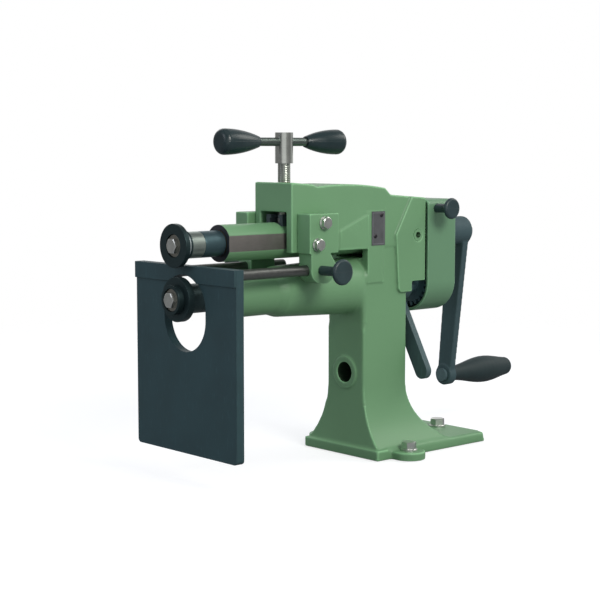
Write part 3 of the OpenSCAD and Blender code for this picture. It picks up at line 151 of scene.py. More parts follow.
def mix(finish, share, first, second):
    """Colour between two colours."""
    made = finish.node("ShaderNodeMix", {"data_type": "RGBA"}, {0: share, 6: first, 7: second})
    return Wire(finish, made.socket.node.outputs[2])


def along_azimuth(degrees):
    """Level direction towards an azimuth: 0 is the machine's right-hand side, -90 its roll end."""
    turn = math.radians(degrees)
    return (math.sin(turn), -math.cos(turn), 0.0)


ambient_level = 0.52
ambient_tint = (0.90, 0.96, 1.08, 1)
room_level = 0.24
backdrop_level = 0.60
card_level = 0.85
side_level = 0.55

world = bpy.data.worlds.new("studio_air")
scene.world = world
air = Finish(world)
air_rays = air.node("ShaderNodeLightPath")
heading = air.node("ShaderNodeTexCoord")["Generated"]


def patch_of_sky(azimuth, full, edge):
    """1 within so many degrees of an azimuth, fading to 0 at the edge."""
    facing = air.node(
        "ShaderNodeVectorMath", {"operation": "DOT_PRODUCT"}, {0: heading, 1: along_azimuth(azimuth)}
    )["Value"]
    return ramp(air, facing, math.cos(math.radians(edge)), math.cos(math.radians(full)))


backdrop = patch_of_sky(math.degrees(view_azimuth) + 180, full=30, edge=52)
card = patch_of_sky(-41, full=18, edge=34)
side_card = patch_of_sky(102, full=30, edge=56)
reflected = room_level + (backdrop_level - room_level) * backdrop
reflected = reflected + (card_level - room_level) * card + (side_level - room_level) * side_card
seen = air_rays["Is Camera Ray"] + air_rays["Is Transmission Ray"]
glossy = air_rays["Is Glossy Ray"]
strength = seen + (1 - seen) * (glossy * reflected + (1 - glossy) * ambient_level)
light = mix(air, (1 - seen) * (1 - glossy), (1, 1, 1, 1), ambient_tint)
sky = air.node("ShaderNodeBackground", {}, {"Color": light, "Strength": strength})
air.node("ShaderNodeOutputWorld", {}, {"Surface": sky})


def soft_lamp(name, azimuth, elevation, distance, size, level, tint=(1, 1, 1), mirrored=True):
    """Square lamp aimed at the machine. Its level is how white it makes a white card that faces it.

    A lamp that is not mirrored brightens paint but leaves no glint on metal.
    """
    data = bpy.data.lights.new(name, "AREA")
    data.color = tint
    data.size = size
    data.energy = level * math.pi ** 2 * distance ** 2
    lamp = bpy.data.objects.new(name, data)
    lamp.rotation_euler = (math.pi / 2 - math.radians(elevation), 0, math.radians(azimuth))
    lamp.location = view_centre + lamp.rotation_euler.to_matrix() @ Vector((0, 0, distance))
    lamp.visible_glossy = mirrored
    scene.collection.objects.link(lamp)


warm = (1.0, 0.98, 0.93)
cool = (0.95, 0.96, 1.06)
soft_lamp("key_lamp", azimuth=-4, elevation=32, distance=1.7, size=0.6, level=0.58, tint=warm)
soft_lamp("side_lamp", azimuth=66, elevation=34, distance=1.7, size=0.7, level=0.20, tint=warm)
soft_lamp("fill_lamp", azimuth=-100, elevation=28, distance=1.8, size=0.8, level=0.12, tint=cool)
soft_lamp(
    "left_lamp", azimuth=-128, elevation=8, distance=1.8, size=0.8, level=0.08, tint=cool, mirrored=False
)
soft_lamp("top_lamp", azimuth=-40, elevation=78, distance=1.6, size=1.2, level=0.05)
soft_lamp("rear_lamp", azimuth=160, elevation=35, distance=1.8, size=1.0, level=0.12)

floor_r = 1.6
floor_fade = (0.50, 1.30)
floor_drop = 0.0004
floor_lift = 0.64
floor_paint = Finish(bpy.data.materials.new("floor_paper"))
floor_rays = floor_paint.node("ShaderNodeLightPath")
on_floor = floor_paint.node("ShaderNodeTexCoord")["Object"]
reach = floor_paint.node("ShaderNodeVectorMath", {"operation": "LENGTH"}, {0: on_floor})["Value"]
sheet = mix(floor_paint, floor_rays["Is Camera Ray"], (0.28, 0.28, 0.28, 1), (0.45, 0.45, 0.45, 1))
paper = floor_paint.node("ShaderNodeBsdfDiffuse", {}, {"Color": sheet})
lift = floor_lift * (floor_rays["Is Camera Ray"] + floor_rays["Is Transmission Ray"])
glow = floor_paint.node("ShaderNodeEmission", {}, {"Color": (1, 1, 1, 1), "Strength": lift})
lit = floor_paint.node("ShaderNodeAddShader", {}, {0: paper, 1: glow})
clear = floor_paint.node("ShaderNodeBsdfTransparent")
fade = ramp(floor_paint, reach, *floor_fade)
faded = floor_paint.node("ShaderNodeMixShader", {}, {0: fade, 1: lit, 2: clear})
floor_paint.node("ShaderNodeOutputMaterial", {}, {"Surface": faded})

disc = bmesh.new()
bmesh.ops.create_circle(disc, cap_ends=True, segments=96, radius=floor_r)
floor_mesh = bpy.data.meshes.new("floor")
disc.to_mesh(floor_mesh)
disc.free()
floor_mesh.materials.append(floor_paint.owner)
floor = bpy.data.objects.new("floor", floor_mesh)
floor.location = (view_centre.x, view_centre.y, -floor_drop)
scene.collection.objects.link(floor)


# Body casting. Base, column, horn and head are one iron casting with rounded edges and small
# fillets, fettled, filled and sprayed with semi-gloss green enamel.
def srgb(red, green, blue):
    """Colour as a paint chart gives it, 0 to 255, in the shader's linear scale."""
    def linear(level):
        share = level / 255
        return share / 12.92 if share <= 0.04045 else ((share + 0.055) / 1.055) ** 2.4
    return (linear(red), linear(green), linear(blue), 1)


def shade(colour, factor):
    return tuple(min(1, factor * part) for part in colour[:3]) + (1,)


def clouds(finish, place, size, detail=2.0):
    """Soft random patches of about that size, in metres, from 0 to 1."""
    return finish.node("ShaderNodeTexNoise", {}, {"Vector": place, "Scale": 1 / size, "Detail": detail})


def relief(finish, height):
    """Surface normal of a height in metres."""
    return finish.node("ShaderNodeBump", {}, {"Strength": 1.0, "Distance": 1.0, "Height": height})


def cover_with(finish, sockets):
    surface = finish.node("ShaderNodeBsdfPrincipled", {}, sockets)
    finish.node("ShaderNodeOutputMaterial", {}, {"Surface": surface})
    return finish.owner


def enamel(name, colour, painted_hole_shade=None):
    """Sprayed enamel over cast iron: soft lumps and orange peel. Convex edges are painted lighter,
    as thin paint and a painted highlight; concave corners are painted darker as painted shade.

    The casting also has a hole whose inside is painted near black as shade.
    """
    finish = Finish(bpy.data.materials.new(name))
    place = finish.node("ShaderNodeTexCoord")["Object"]
    drift = clouds(finish, place, 0.070, 3)
    lumps = clouds(finish, place, 0.010)
    peel = clouds(finish, place, 0.0016)
    bend = finish.node("ShaderNodeNewGeometry")["Pointiness"]
    edge = ramp(finish, bend, 0.506, 0.540)
    corner = ramp(finish, bend, 0.492, 0.450)
    tone = mix(finish, drift, shade(colour, 0.93), shade(colour, 1.07))
    # Convex edges painted lighter: thin paint and a painted highlight.
    tone = mix(finish, 0.72 * edge, tone, shade(colour, 1.80))
    # Concave corners painted darker: painted shade.
    tone = mix(finish, 0.70 * corner, tone, shade(colour, 0.45))
    # Inside the hole the colour is painted near black: painted shade.
    if painted_hole_shade:
        tone = mix(finish, painted_hole_shade(finish, place), tone, shade(colour, 0.12))
    return cover_with(finish, {
        "Base Color": tone,
        "Roughness": 0.42 + 0.10 * drift,
        "Specular IOR Level": 0.38,
        "Normal": relief(finish, 45e-6 * lumps + 4e-6 * peel),
        "Coat Weight": 0.08,
        "Coat Roughness": 0.20,
    })


bodies = frame["record"]["behaviour"]["bodies"]


def body_with(node):
    return next(body for body, members in bodies.items() if node in members)


def add_piece(name, mesh, body, finishes, stands_for=()):
    for finish in finishes:
        mesh.materials.append(finish)
    piece = bpy.data.objects.new(name, mesh)
    scene.collection.objects.link(piece)
    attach(piece, body)
    if stands_for:
        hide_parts(*stands_for)
    return piece


def welded(node):
    """A copy of a node's solid with its faces joined along their edges."""
    shape = bmesh.new()
    shape.from_mesh(nodes[node].data)
    bmesh.ops.remove_doubles(shape, verts=shape.verts, dist=2e-6)
    return shape


def cast_skin(node, grain, softening, share, rounds=(), raised=None):
    """The node's shape with every edge and corner rounded, as a casting or forging has them.

    Inside each box in rounds, and inside its mirror image on the far side, the shape is smoothed on
    in so many steps, into a wide round. Where raised is given, it says how far a point stands out.
    """
    shape = welded(node)
    raw = bpy.data.meshes.new(node + "_raw")
    shape.to_mesh(raw)
    shape.free()
    pattern = bpy.data.objects.new(node + "_pattern", raw)
    scene.collection.objects.link(pattern)
    skin = pattern.modifiers.new("skin", "REMESH")
    skin.mode = "VOXEL"
    skin.voxel_size = grain
    soften = pattern.modifiers.new("soften", "SMOOTH")
    soften.factor = 0.5
    soften.iterations = softening
    fine = bpy.data.meshes.new_from_object(pattern.evaluated_get(bpy.context.evaluated_depsgraph_get()))
    pattern.modifiers.clear()
    shape = bmesh.new()
    shape.from_mesh(fine)
    for low, high, steps in rounds:
        inside = [
            corner for corner in shape.verts
            if low[0] <= corner.co.x <= high[0]
            and low[1] <= abs(corner.co.y) <= high[1]
            and low[2] <= corner.co.z <= high[2]
        ]
        for step in range(steps):
            bmesh.ops.smooth_vert(
                shape, verts=inside, factor=0.5, use_axis_x=True, use_axis_y=True, use_axis_z=True
            )
    if raised:
        for corner in shape.verts:
            corner.co.y += math.copysign(raised(corner.co), corner.co.y)
    shape.to_mesh(fine)
    shape.free()
    pattern.data = fine
    thin = pattern.modifiers.new("thin", "DECIMATE")
    thin.ratio = share
    mesh = bpy.data.meshes.new_from_object(pattern.evaluated_get(bpy.context.evaluated_depsgraph_get()))
    bpy.data.objects.remove(pattern)
    bpy.data.meshes.remove(fine)
    bpy.data.meshes.remove(raw)
    mesh.materials.clear()
    mesh.shade_smooth()
    mesh.name = node + "_cast"
    return mesh


def ease(value, low, high):
    """0 at low, 1 at high, eased between them."""
    share = min(1, max(0, (value - low) / (high - low)))
    return share * share * (3 - 2 * share)


# Each edge of the raised places is given by where it starts to rise and where it is full.
side_y = 0.0235
wall_front = (-0.0985, -0.0950)
wall_rear = (-0.0558, -0.0590)
wall_foot = (0.2010, 0.2020)
wall_top = (0.2622, 0.2590)
wall_slope = 0.394
wall_height = 0.0011
pad_front = (-0.0625, -0.0605)
pad_rear = (-0.0365, -0.0385)
pad_foot = (0.1690, 0.1712)
pad_top = (0.2410, 0.2385)
pad_height = 0.0005


def side_step(point):
    """How far the pattern raises the sides: a wall ahead of the name plate and a pad under it."""
    if abs(point.y) <= side_y:
        return 0
    wall = ease(point.x, *wall_front) * ease(point.x, *wall_rear)
    wall *= ease(point.z, *wall_foot) * ease(point.z - wall_slope * point.x, *wall_top)
    pad = ease(point.x, *pad_front) * ease(point.x, *pad_rear)
    pad *= ease(point.z, *pad_foot) * ease(point.z, *pad_top)
    return max(wall_height * wall, pad_height * pad)


core_hole_x = (-0.0640, -0.0250)
core_hole_z = 0.081
core_hole_r = 0.0106


def core_hole(finish, place):
    """1 inside the core hole in the column's front, where the enamel paints shade near black."""
    middle = (0, 0, core_hole_z)
    local = finish.node("ShaderNodeVectorMath", {"operation": "SUBTRACT"}, {0: place, 1: middle})
    flat = finish.node("ShaderNodeVectorMath", {"operation": "MULTIPLY"}, {0: local, 1: (0, 1, 1)})
    radius = finish.node("ShaderNodeVectorMath", {"operation": "LENGTH"}, {0: flat})["Value"]
    depth = split(finish, place)[0]
    return (radius < core_hole_r) * (depth > core_hole_x[0]) * (depth < core_hole_x[1])


body_green = srgb(106, 148, 107)
casting_green = enamel("casting_enamel", body_green, core_hole)
horn_root = ((-0.0780, 0.0, 0.1260), (-0.0605, 0.0330, 0.1990), 40)
column_corners = ((-0.0690, 0.0180, 0.0500), (-0.0560, 0.0330, 0.1320), 14)
foot_edges = ((-0.0560, 0.0440, 0.0030), (0.0900, 0.0534, 0.0160), 40)
casting_rounds = (horn_root, column_corners, foot_edges)
casting_mesh = cast_skin(
    "body_casting", grain=0.0009, softening=8, share=0.20, rounds=casting_rounds, raised=side_step
)
add_piece("cast_body", casting_mesh, "frame", [casting_green], ["body_casting"])


# Bench bolts. Three plated hexagon bolts with washers hold the base down, one in each lug and
# one at the rear. They stand in the holes that the solid leaves free.
def brushed(finish, place, stretch, size):
    """Streaks along one axis: stretch holds how much longer they run along X, Y and Z."""
    drawn = finish.node("ShaderNodeVectorMath", {"operation": "DIVIDE"}, {0: place, 1: stretch})
    return clouds(finish, drawn, size, 3)


def plated(name, colour, roughness=0.26):
    """Zinc plated steel: faint clouds in the plating and fine scratches."""
    finish = Finish(bpy.data.materials.new(name))
    place = finish.node("ShaderNodeTexCoord")["Object"]
    haze = clouds(finish, place, 0.004, 3)
    scratch = brushed(finish, place, (1, 6, 1), 0.0006)
    return cover_with(finish, {
        "Base Color": mix(finish, haze, shade(colour, 0.80), shade(colour, 1.15)),
        "Metallic": 1.0,
        "Roughness": roughness + 0.12 * haze,
        "Normal": relief(finish, 2e-6 * scratch),
    })


def circle_ring(radius, height, sides):
    turns = [2 * math.pi * step / sides for step in range(sides)]
    return [Vector((radius * math.cos(turn), radius * math.sin(turn), height)) for turn in turns]


def loft(shape, rings, place):
    """Skin over rings of equally many points, with both ends closed."""
    rows = [[shape.verts.new(place @ point) for point in ring] for ring in rings]
    for low, high in zip(rows, rows[1:]):
        for step in range(len(low)):
            shape.faces.new((low[step - 1], low[step], high[step], high[step - 1]))
    shape.faces.new(reversed(rows[0]))
    shape.faces.new(rows[-1])


def shaded_mesh(shape, name, crease=math.radians(28)):
    """Closes a shape into a mesh that is smooth but for its sharp edges."""
    bmesh.ops.recalc_face_normals(shape, faces=shape.faces)
    for face in shape.faces:
        face.smooth = True
    for edge in shape.edges:
        edge.smooth = len(edge.link_faces) == 2 and edge.calc_face_angle() < crease
    mesh = bpy.data.meshes.new(name)
    shape.to_mesh(mesh)
    shape.free()
    return mesh


hex_sides = 48
hex_cut = math.tan(math.radians(30))
hex_top_share = 0.47
hex_middle_share = 0.2


def hex_bolt(shape, place, across, head, shank_d, shank_l):
    """Hexagon bolt along +Z with the underside of its head at 0 and its corners turned off."""
    top_r = hex_top_share * across

    def corner_ring(height_at):
        points = []
        for step in range(hex_sides):
            turn = 2 * math.pi * step / hex_sides
            swing = (turn + math.pi / 6) % (math.pi / 3) - math.pi / 6
            radius = across / 2 / math.cos(swing)
            points.append(Vector((radius * math.cos(turn), radius * math.sin(turn), height_at(radius))))
        return points

    loft(shape, [
        corner_ring(lambda radius: 0),
        corner_ring(lambda radius: head - hex_cut * (radius - top_r)),
        circle_ring(top_r, head, hex_sides),
        circle_ring(top_r * hex_middle_share, head, hex_sides),
    ], place)
    loft(shape, [circle_ring(shank_d / 2, z, hex_sides) for z in (-shank_l, 0)], place)


def washer(shape, place, outer_d, bore_d, thickness, sides=64):
    """Stamped washer on the plane 0, rounded on its upper rim."""
    lip = 0.25 * thickness
    profile = [
        (bore_d / 2, 0), (outer_d / 2, 0), (outer_d / 2, thickness - lip),
        (outer_d / 2 - lip, thickness), (bore_d / 2, thickness),
    ]
    rows = [[shape.verts.new(place @ point) for point in circle_ring(r, z, sides)] for r, z in profile]
    for low, high in zip(rows, rows[1:] + rows[:1]):
        for step in range(sides):
            shape.faces.new((low[step - 1], low[step], high[step], high[step - 1]))


bench_bolt_d = 0.008
bench_bolt_across = 0.013
bench_bolt_head = 0.0068
bench_washer_d = 0.0165
bench_washer_t = 0.0018
bolt_circle_r = 0.070
lug_top = 0.008
base_top = 0.010
bench_places = [
    Vector((bolt_circle_r * math.cos(turn), bolt_circle_r * math.sin(turn), height))
    for turn, height in ((0, base_top), (math.radians(120), lug_top), (math.radians(240), lug_top))
]
bright_plating = plated("bright_plating", srgb(206, 209, 205))
bolts = bmesh.new()
washers = bmesh.new()
for seat in bench_places:
    washer(washers, Matrix.Translation(seat), bench_washer_d, bench_bolt_d, bench_washer_t)
    on_washer = Matrix.Translation(seat + Vector((0, 0, bench_washer_t)))
    hex_bolt(bolts, on_washer, bench_bolt_across, bench_bolt_head, bench_bolt_d, seat.z)
for name, shape in (("bench_bolts", bolts), ("bench_washers", washers)):
    add_piece(name, shaded_mesh(shape, name), "frame", [bright_plating])


# Bronze bushes and the spindle nut. They are turned from bronze bar and pressed into the
# casting and the arm, so that only their end faces show.
tool_pitch = 0.0006
# Light steel for rubbed bands, which also stand as a painted highlight.
rubbed_steel_glint = srgb(196, 206, 208)


def turned_lines(finish, axis, centre):
    """Tool marks of a lathe: they run round the axis on the sides and on the end faces alike."""
    place = finish.node("ShaderNodeTexCoord")["Object"]
    local = finish.node("ShaderNodeVectorMath", {"operation": "SUBTRACT"}, {0: place, 1: centre})
    across = tuple(0 if step == axis else 1 for step in range(3))
    radial = finish.node("ShaderNodeVectorMath", {"operation": "MULTIPLY"}, {0: local, 1: across})
    radius = finish.node("ShaderNodeVectorMath", {"operation": "LENGTH"}, {0: radial})["Value"]
    along = split(finish, local)[axis]
    return finish.node(
        "ShaderNodeTexNoise",
        {"noise_dimensions": "1D"},
        {"W": radius + along, "Scale": 1 / tool_pitch, "Detail": 2.0},
    )


def turned(name, colour, axis, centre, roughness, metallic=1.0, depth=3e-6, bright=None):
    """Metal from the lathe, with tool marks and patches where hands and oil have been.

    Where bright gives two places along the axis, it is worn bright between them, light steel that also
    paints a highlight there.
    """
    finish = Finish(bpy.data.materials.new(name))
    place = finish.node("ShaderNodeTexCoord")["Object"]
    lines = turned_lines(finish, axis, centre)
    oil = clouds(finish, place, 0.012, 3)
    tone = mix(finish, oil, shade(colour, 0.82), shade(colour, 1.14))
    tone = mix(finish, 0.35 * lines, tone, shade(colour, 0.62))
    if bright:
        along = split(finish, place)[axis]
        worn = (along > bright[0]) * (along < bright[1])
        # The band is rubbed steel and also a painted highlight.
        tone = mix(finish, worn * (0.6 + 0.4 * oil), tone, rubbed_steel_glint)
    return cover_with(finish, {
        "Base Color": tone,
        "Metallic": metallic,
        "Roughness": roughness + 0.14 * oil,
        "Normal": relief(finish, depth * lines),
    })


def dress(finish, *names):
    """Gives CAD nodes whose shape is right a better material."""
    for name in names:
        for holder in nodes[name].material_slots:
            holder.link = "OBJECT"
            holder.material = finish


along_x, along_y, along_z = 0, 1, 2


def centre_of(node):
    low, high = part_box(node)
    return (low + high) / 2


upper_axis = centre_of("upper_spacer")
lower_axis = centre_of("lower_spacer")
spindle_axis = centre_of("spindle")
bronze = srgb(168, 138, 92)
upper_bronze = turned("upper_bronze", bronze, along_x, upper_axis, 0.34)
lower_bronze = turned("lower_bronze", bronze, along_x, lower_axis, 0.34)
nut_bronze = turned("nut_bronze", bronze, along_z, spindle_axis, 0.34)
dress(upper_bronze, "upper_bush_front", "upper_bush_rear")
dress(lower_bronze, "lower_bush_front", "lower_bush_rear")
dress(nut_bronze, "spindle_nut")


# Lower shaft line. Steel shaft in the horn with its gear and nut at the rear; the blackened
# lower roll and its spacer sit on the shaft's nose, held by a washer and a bolt.
sharp_corner = math.radians(32)
flat_enough = math.radians(0.4)


def machined(node, edge, finishes, steps=2):
    """The node with its outer edges broken by a small round, as a deburred part has them.

    Where two finishes are given, the broken edges show the second one.
    """
    shape = welded(node)
    bmesh.ops.dissolve_limit(shape, angle_limit=flat_enough, verts=shape.verts, edges=shape.edges)
    outer = [
        corner for corner in shape.edges
        if len(corner.link_faces) == 2 and corner.is_convex and corner.calc_face_angle() > sharp_corner
    ]
    bmesh.ops.bevel(
        shape, geom=outer, offset=edge, segments=steps, profile=0.5, affect="EDGES",
        clamp_overlap=True, material=1 if len(finishes) > 1 else -1,
    )
    mesh = shaded_mesh(shape, node + "_worked")
    mesh.materials.clear()
    piece = add_piece(node + ".worked", mesh, body_with(node), finishes, [node])
    flat = piece.modifiers.new("flat_faces", "WEIGHTED_NORMAL")
    flat.keep_sharp = True


def blacked(name, colour, roughness=0.42):
    """Black paint or oxide on steel, with a dry grain and faint rub marks."""
    finish = Finish(bpy.data.materials.new(name))
    place = finish.node("ShaderNodeTexCoord")["Object"]
    patch = clouds(finish, place, 0.030, 3)
    grain = clouds(finish, place, 0.0009)
    rub = brushed(finish, place, (1, 1, 8), 0.0016)
    tone = mix(finish, patch, shade(colour, 0.80), shade(colour, 1.22))
    tone = mix(finish, 0.30 * ramp(finish, rub, 0.58, 0.75), tone, shade(colour, 2.1))
    return cover_with(finish, {
        "Base Color": tone,
        "Roughness": roughness + 0.16 * patch,
        "Specular IOR Level": 0.40,
        "Normal": relief(finish, 6e-6 * grain + 3e-6 * rub),
    })


shaft_steel = srgb(150, 154, 150)
roll_black = srgb(46, 64, 66)
# Lighter steel for the rolls' broken edges: worn edges and a painted highlight.
worn_edge_glint = srgb(128, 134, 132)
lower_steel = turned("lower_shaft_steel", shaft_steel, along_x, lower_axis, 0.28)
lower_black = turned("lower_roll_black", roll_black, along_x, lower_axis, 0.36, metallic=0.75)
lower_edge_glint = turned("lower_roll_edge", worn_edge_glint, along_x, lower_axis, 0.30)
gear_black = blacked("gear_black", srgb(66, 92, 97))
washer_steel = turned("roll_washer_steel", srgb(150, 150, 142), along_x, lower_axis, 0.30)
dress(lower_steel, "lower_shaft", "lower_roll_key", "lower_gear_key", "lower_gear_nut", "thrust_sleeve")
dress(gear_black, "lower_gear")
machined("lower_roll", 0.0006, [lower_black, lower_edge_glint])
machined("lower_spacer", 0.0005, [lower_black, lower_edge_glint])
machined("lower_roll_washer", 0.0003, [washer_steel])

roll_shank_share = 0.54


def roll_bolt(node):
    """Hexagon bolt in a roll's face, head to the front, with its shank where the node has it."""
    low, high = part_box(node)
    across = high.z - low.z
    middle = (low + high) / 2
    washer_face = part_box(node.replace("bolt", "washer"))[0].x
    at_face = Matrix.Translation((washer_face, middle.y, middle.z))
    facing_front = at_face @ Matrix.Rotation(-math.pi / 2, 4, "Y")
    shape = bmesh.new()
    flats = across * math.cos(math.pi / 6)
    shank_d = across * roll_shank_share
    hex_bolt(shape, facing_front, flats, washer_face - low.x, shank_d, high.x - washer_face)
    mesh = shaded_mesh(shape, node)
    add_piece(node + ".worked", mesh, body_with(node), [bright_plating], [node])


roll_bolt("lower_roll_bolt")


# Adjusting ring and lever. The blackened ring on the column's rear spigot shifts the lower
# shaft; its flat forged lever hangs down behind the column, its edges lighter: rubbed paint
# and a painted highlight.
lever_black = blacked("lever_black", srgb(67, 88, 90), 0.50)
# Lighter finish for the lever's broken edges: rubbed paint and a painted highlight.
lever_rub_glint = blacked("lever_rub_glint", srgb(96, 114, 114), 0.42)
dress(lever_black, "adjusting_ring")
machined("adjusting_lever", 0.0011, [lever_black, lever_rub_glint], steps=3)


# Upper arm. A turned steel sleeve that tilts between the head's walls, sprayed green with the
# casting, then milled bare along its sides and faced bare at its front end.
def arm_enamel(name, colour, bare_colour, front_colour, bare_side, bare_front):
    """Enamel that stops at the milled flats and at the faced front end."""
    finish = Finish(bpy.data.materials.new(name))
    place = finish.node("ShaderNodeTexCoord")["Object"]
    x, y, _ = split(finish, place)
    side = abs(y) > bare_side
    front = x < bare_front
    bare = side.math("MAXIMUM", side, front)
    drift = clouds(finish, place, 0.050, 3)
    peel = clouds(finish, place, 0.0016)
    mill = brushed(finish, place, (10, 1, 1), 0.0009)
    stain = clouds(finish, place, 0.014, 3)
    paint = mix(finish, drift, shade(colour, 0.93), shade(colour, 1.07))
    metal = mix(finish, stain, shade(bare_colour, 0.75), shade(bare_colour, 1.15))
    metal = mix(finish, 0.5 * mill, metal, shade(bare_colour, 0.60))
    metal = mix(finish, front, metal, front_colour)
    return cover_with(finish, {
        "Base Color": mix(finish, bare, paint, metal),
        "Metallic": 0.85 * bare,
        "Roughness": 0.42 + 0.10 * drift,
        "Specular IOR Level": 0.38,
        "Normal": relief(finish, 4e-6 * peel + 4e-6 * bare * mill),
        "Coat Weight": 0.08 * (1 - bare),
        "Coat Roughness": 0.20,
    })


flat_half = 0.0155
face_depth = 0.0002
arm_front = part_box("upper_arm")[0].x
arm_green = arm_enamel(
    "arm_enamel", body_green, srgb(142, 138, 134), srgb(76, 78, 84),
    flat_half - face_depth, arm_front + face_depth,
)
# Cream steel on the arm's broken edges: bare edges and a painted highlight.
arm_edge_glint = plated("arm_edge_glint", srgb(156, 152, 134), 0.34)
machined("upper_arm", 0.0005, [arm_green, arm_edge_glint])

socket_across = 0.006
socket_edge = 0.0003


def socket_enamel(name, colour, centre):
    """Painted screw end whose hexagon socket in its middle is painted near black as shade."""
    finish = Finish(bpy.data.materials.new(name))
    place = finish.node("ShaderNodeTexCoord")["Object"]
    x, _, z = split(finish, place)
    side = abs(x - centre.x)
    up = abs(z - centre.z)
    corner = 0.5 * side + math.cos(math.pi / 6) * up
    hexagon = side.math("MAXIMUM", side, corner)
    # The socket's inside is painted near black: painted shade.
    painted_socket_shade = ramp(finish, hexagon, socket_across / 2, socket_across / 2 - socket_edge)
    peel = clouds(finish, place, 0.0016)
    paint = mix(finish, peel, shade(colour, 0.93), shade(colour, 1.07))
    return cover_with(finish, {
        "Base Color": mix(finish, painted_socket_shade, paint, shade(colour, 0.05)),
        "Roughness": 0.42 + 0.10 * peel,
        "Normal": relief(finish, 4e-6 * peel),
    })


pivot_green = socket_enamel("pivot_enamel", body_green, centre_of("pivot_screws"))
saddle_black = blacked("saddle_black", srgb(50, 62, 64))
dress(pivot_green, "pivot_screws")
dress(saddle_black, "thrust_saddle")
dress(bright_plating, "saddle_screws", "thrust_button")


# Upper shaft line. Steel shaft in the arm with its gear at the rear; collar, bright spacer and
# blackened roll on its nose, held by a washer and a bolt in the roll's recess.
upper_steel = turned("upper_shaft_steel", shaft_steel, along_x, upper_axis, 0.28)
upper_rim_t = 0.005
hub_shoulder = 0.0026
roll_low, roll_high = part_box("upper_roll")
# The hub's band is painted light: rubbed steel and a painted highlight.
hub_rub_and_glint = (roll_low.x + upper_rim_t, roll_high.x - hub_shoulder)
upper_black = turned(
    "upper_roll_black", roll_black, along_x, upper_axis, 0.36, metallic=0.75, bright=hub_rub_and_glint
)
collar_black = turned("collar_black", srgb(74, 99, 105), along_x, upper_axis, 0.36, metallic=0.75)
# The same lighter broken edges, worn and painted as a highlight, on the upper roll and collar.
upper_edge_glint = turned("upper_roll_edge", worn_edge_glint, along_x, upper_axis, 0.30)
upper_bright = turned("upper_spacer_steel", srgb(160, 172, 166), along_x, upper_axis, 0.32)
dress(upper_steel, "upper_shaft", "upper_roll_key", "upper_gear_key", "crank_key")
dress(gear_black, "upper_gear")
machined("upper_roll", 0.0006, [upper_black, upper_edge_glint])
machined("upper_spacer", 0.0006, [upper_bright])
machined("upper_collar", 0.0006, [collar_black, upper_edge_glint])
machined("upper_roll_washer", 0.0003, [washer_steel])
roll_bolt("upper_roll_bolt")


# Pressure spindle. A threaded steel screw in its bronze nut, with a polished hub pinned to its
# top, a plain cross bar through the hub and two tapered plastic grips.
def threaded_spindle():
    """The spindle with a rolled thread from its foot to the hub and a plain end above."""
    low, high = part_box("spindle")
    hub_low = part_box("spindle_hub")[0].z
    pitch = 0.00175
    depth = 0.0002
    flank = 2.6
    crest = 0.15
    radius = (high.x - low.x) / 2
    rows_in_turn = 8
    sides = 40
    rows = math.ceil((hub_low - low.z) / pitch * rows_in_turn)
    rings = []
    for row in range(rows + 1):
        height = low.z + (hub_low - low.z) * row / rows
        ring = []
        for step in range(sides):
            turn = 2 * math.pi * step / sides
            phase = (height / pitch - turn / (2 * math.pi)) % 1
            reach = radius - depth * max(0, min(1, flank * (0.5 - abs(phase - 0.5)) - crest))
            ring.append(Vector((reach * math.cos(turn), reach * math.sin(turn), height)))
        rings.append(ring)
    rings.append(circle_ring(radius, hub_low, sides))
    rings.append(circle_ring(radius, high.z, sides))
    shape = bmesh.new()
    loft(shape, rings, Matrix.Translation((spindle_axis.x, spindle_axis.y, 0)))
    return shaded_mesh(shape, "spindle_thread", math.radians(50))


spindle_steel = turned("spindle_steel", srgb(168, 173, 166), along_z, spindle_axis, 0.26)
hub_steel = turned("hub_steel", srgb(196, 200, 194), along_z, spindle_axis, 0.16, depth=1e-6)
tee_axis = centre_of("tee_bar")
bar_steel = turned("bar_steel", srgb(116, 128, 123), along_x, tee_axis, 0.30)
add_piece("spindle.worked", threaded_spindle(), "screw", [spindle_steel], ["spindle"])
machined("spindle_hub", 0.0009, [hub_steel], steps=3)
dress(bar_steel, "tee_bar")


def moulded(name, colour, seam_axis, seam_at, roughness=0.24):
    """Glossy black thermoset with a faint parting line and finger marks."""
    finish = Finish(bpy.data.materials.new(name))
    place = finish.node("ShaderNodeTexCoord")["Object"]
    marks = clouds(finish, place, 0.011, 3)
    flow = clouds(finish, place, 0.0025)
    seam = 1 - ramp(finish, abs(split(finish, place)[seam_axis] - seam_at), 0.00008, 0.00030)
    return cover_with(finish, {
        "Base Color": mix(finish, marks, shade(colour, 0.75), shade(colour, 1.25)),
        "Roughness": roughness + 0.16 * marks,
        "Normal": relief(finish, 5e-6 * flow + 60e-6 * seam),
    })


plastic_black = srgb(24, 43, 46)
tee_plastic = moulded("tee_grip_plastic", plastic_black, along_z, tee_axis.z)
dress(tee_plastic, "tee_grips")


# Gear cover. A cast aluminium hood over the gears behind the head, enamelled a shade bluer
# than the body, held by a plastic knob on this side and a bolt on the other.
cover_green = enamel("cover_enamel", srgb(98, 137, 104))
cover_mesh = cast_skin("gear_cover", grain=0.0007, softening=9, share=0.28)
add_piece("cast_cover", cover_mesh, "frame", [cover_green], ["gear_cover"])
knob_black = srgb(35, 54, 57)
cover_plastic = moulded("cover_knob_plastic", knob_black, along_z, centre_of("cover_knob").z, 0.34)
dress(cover_plastic, "cover_knob")
dress(bright_plating, "cover_knob_screw", "cover_bolt")


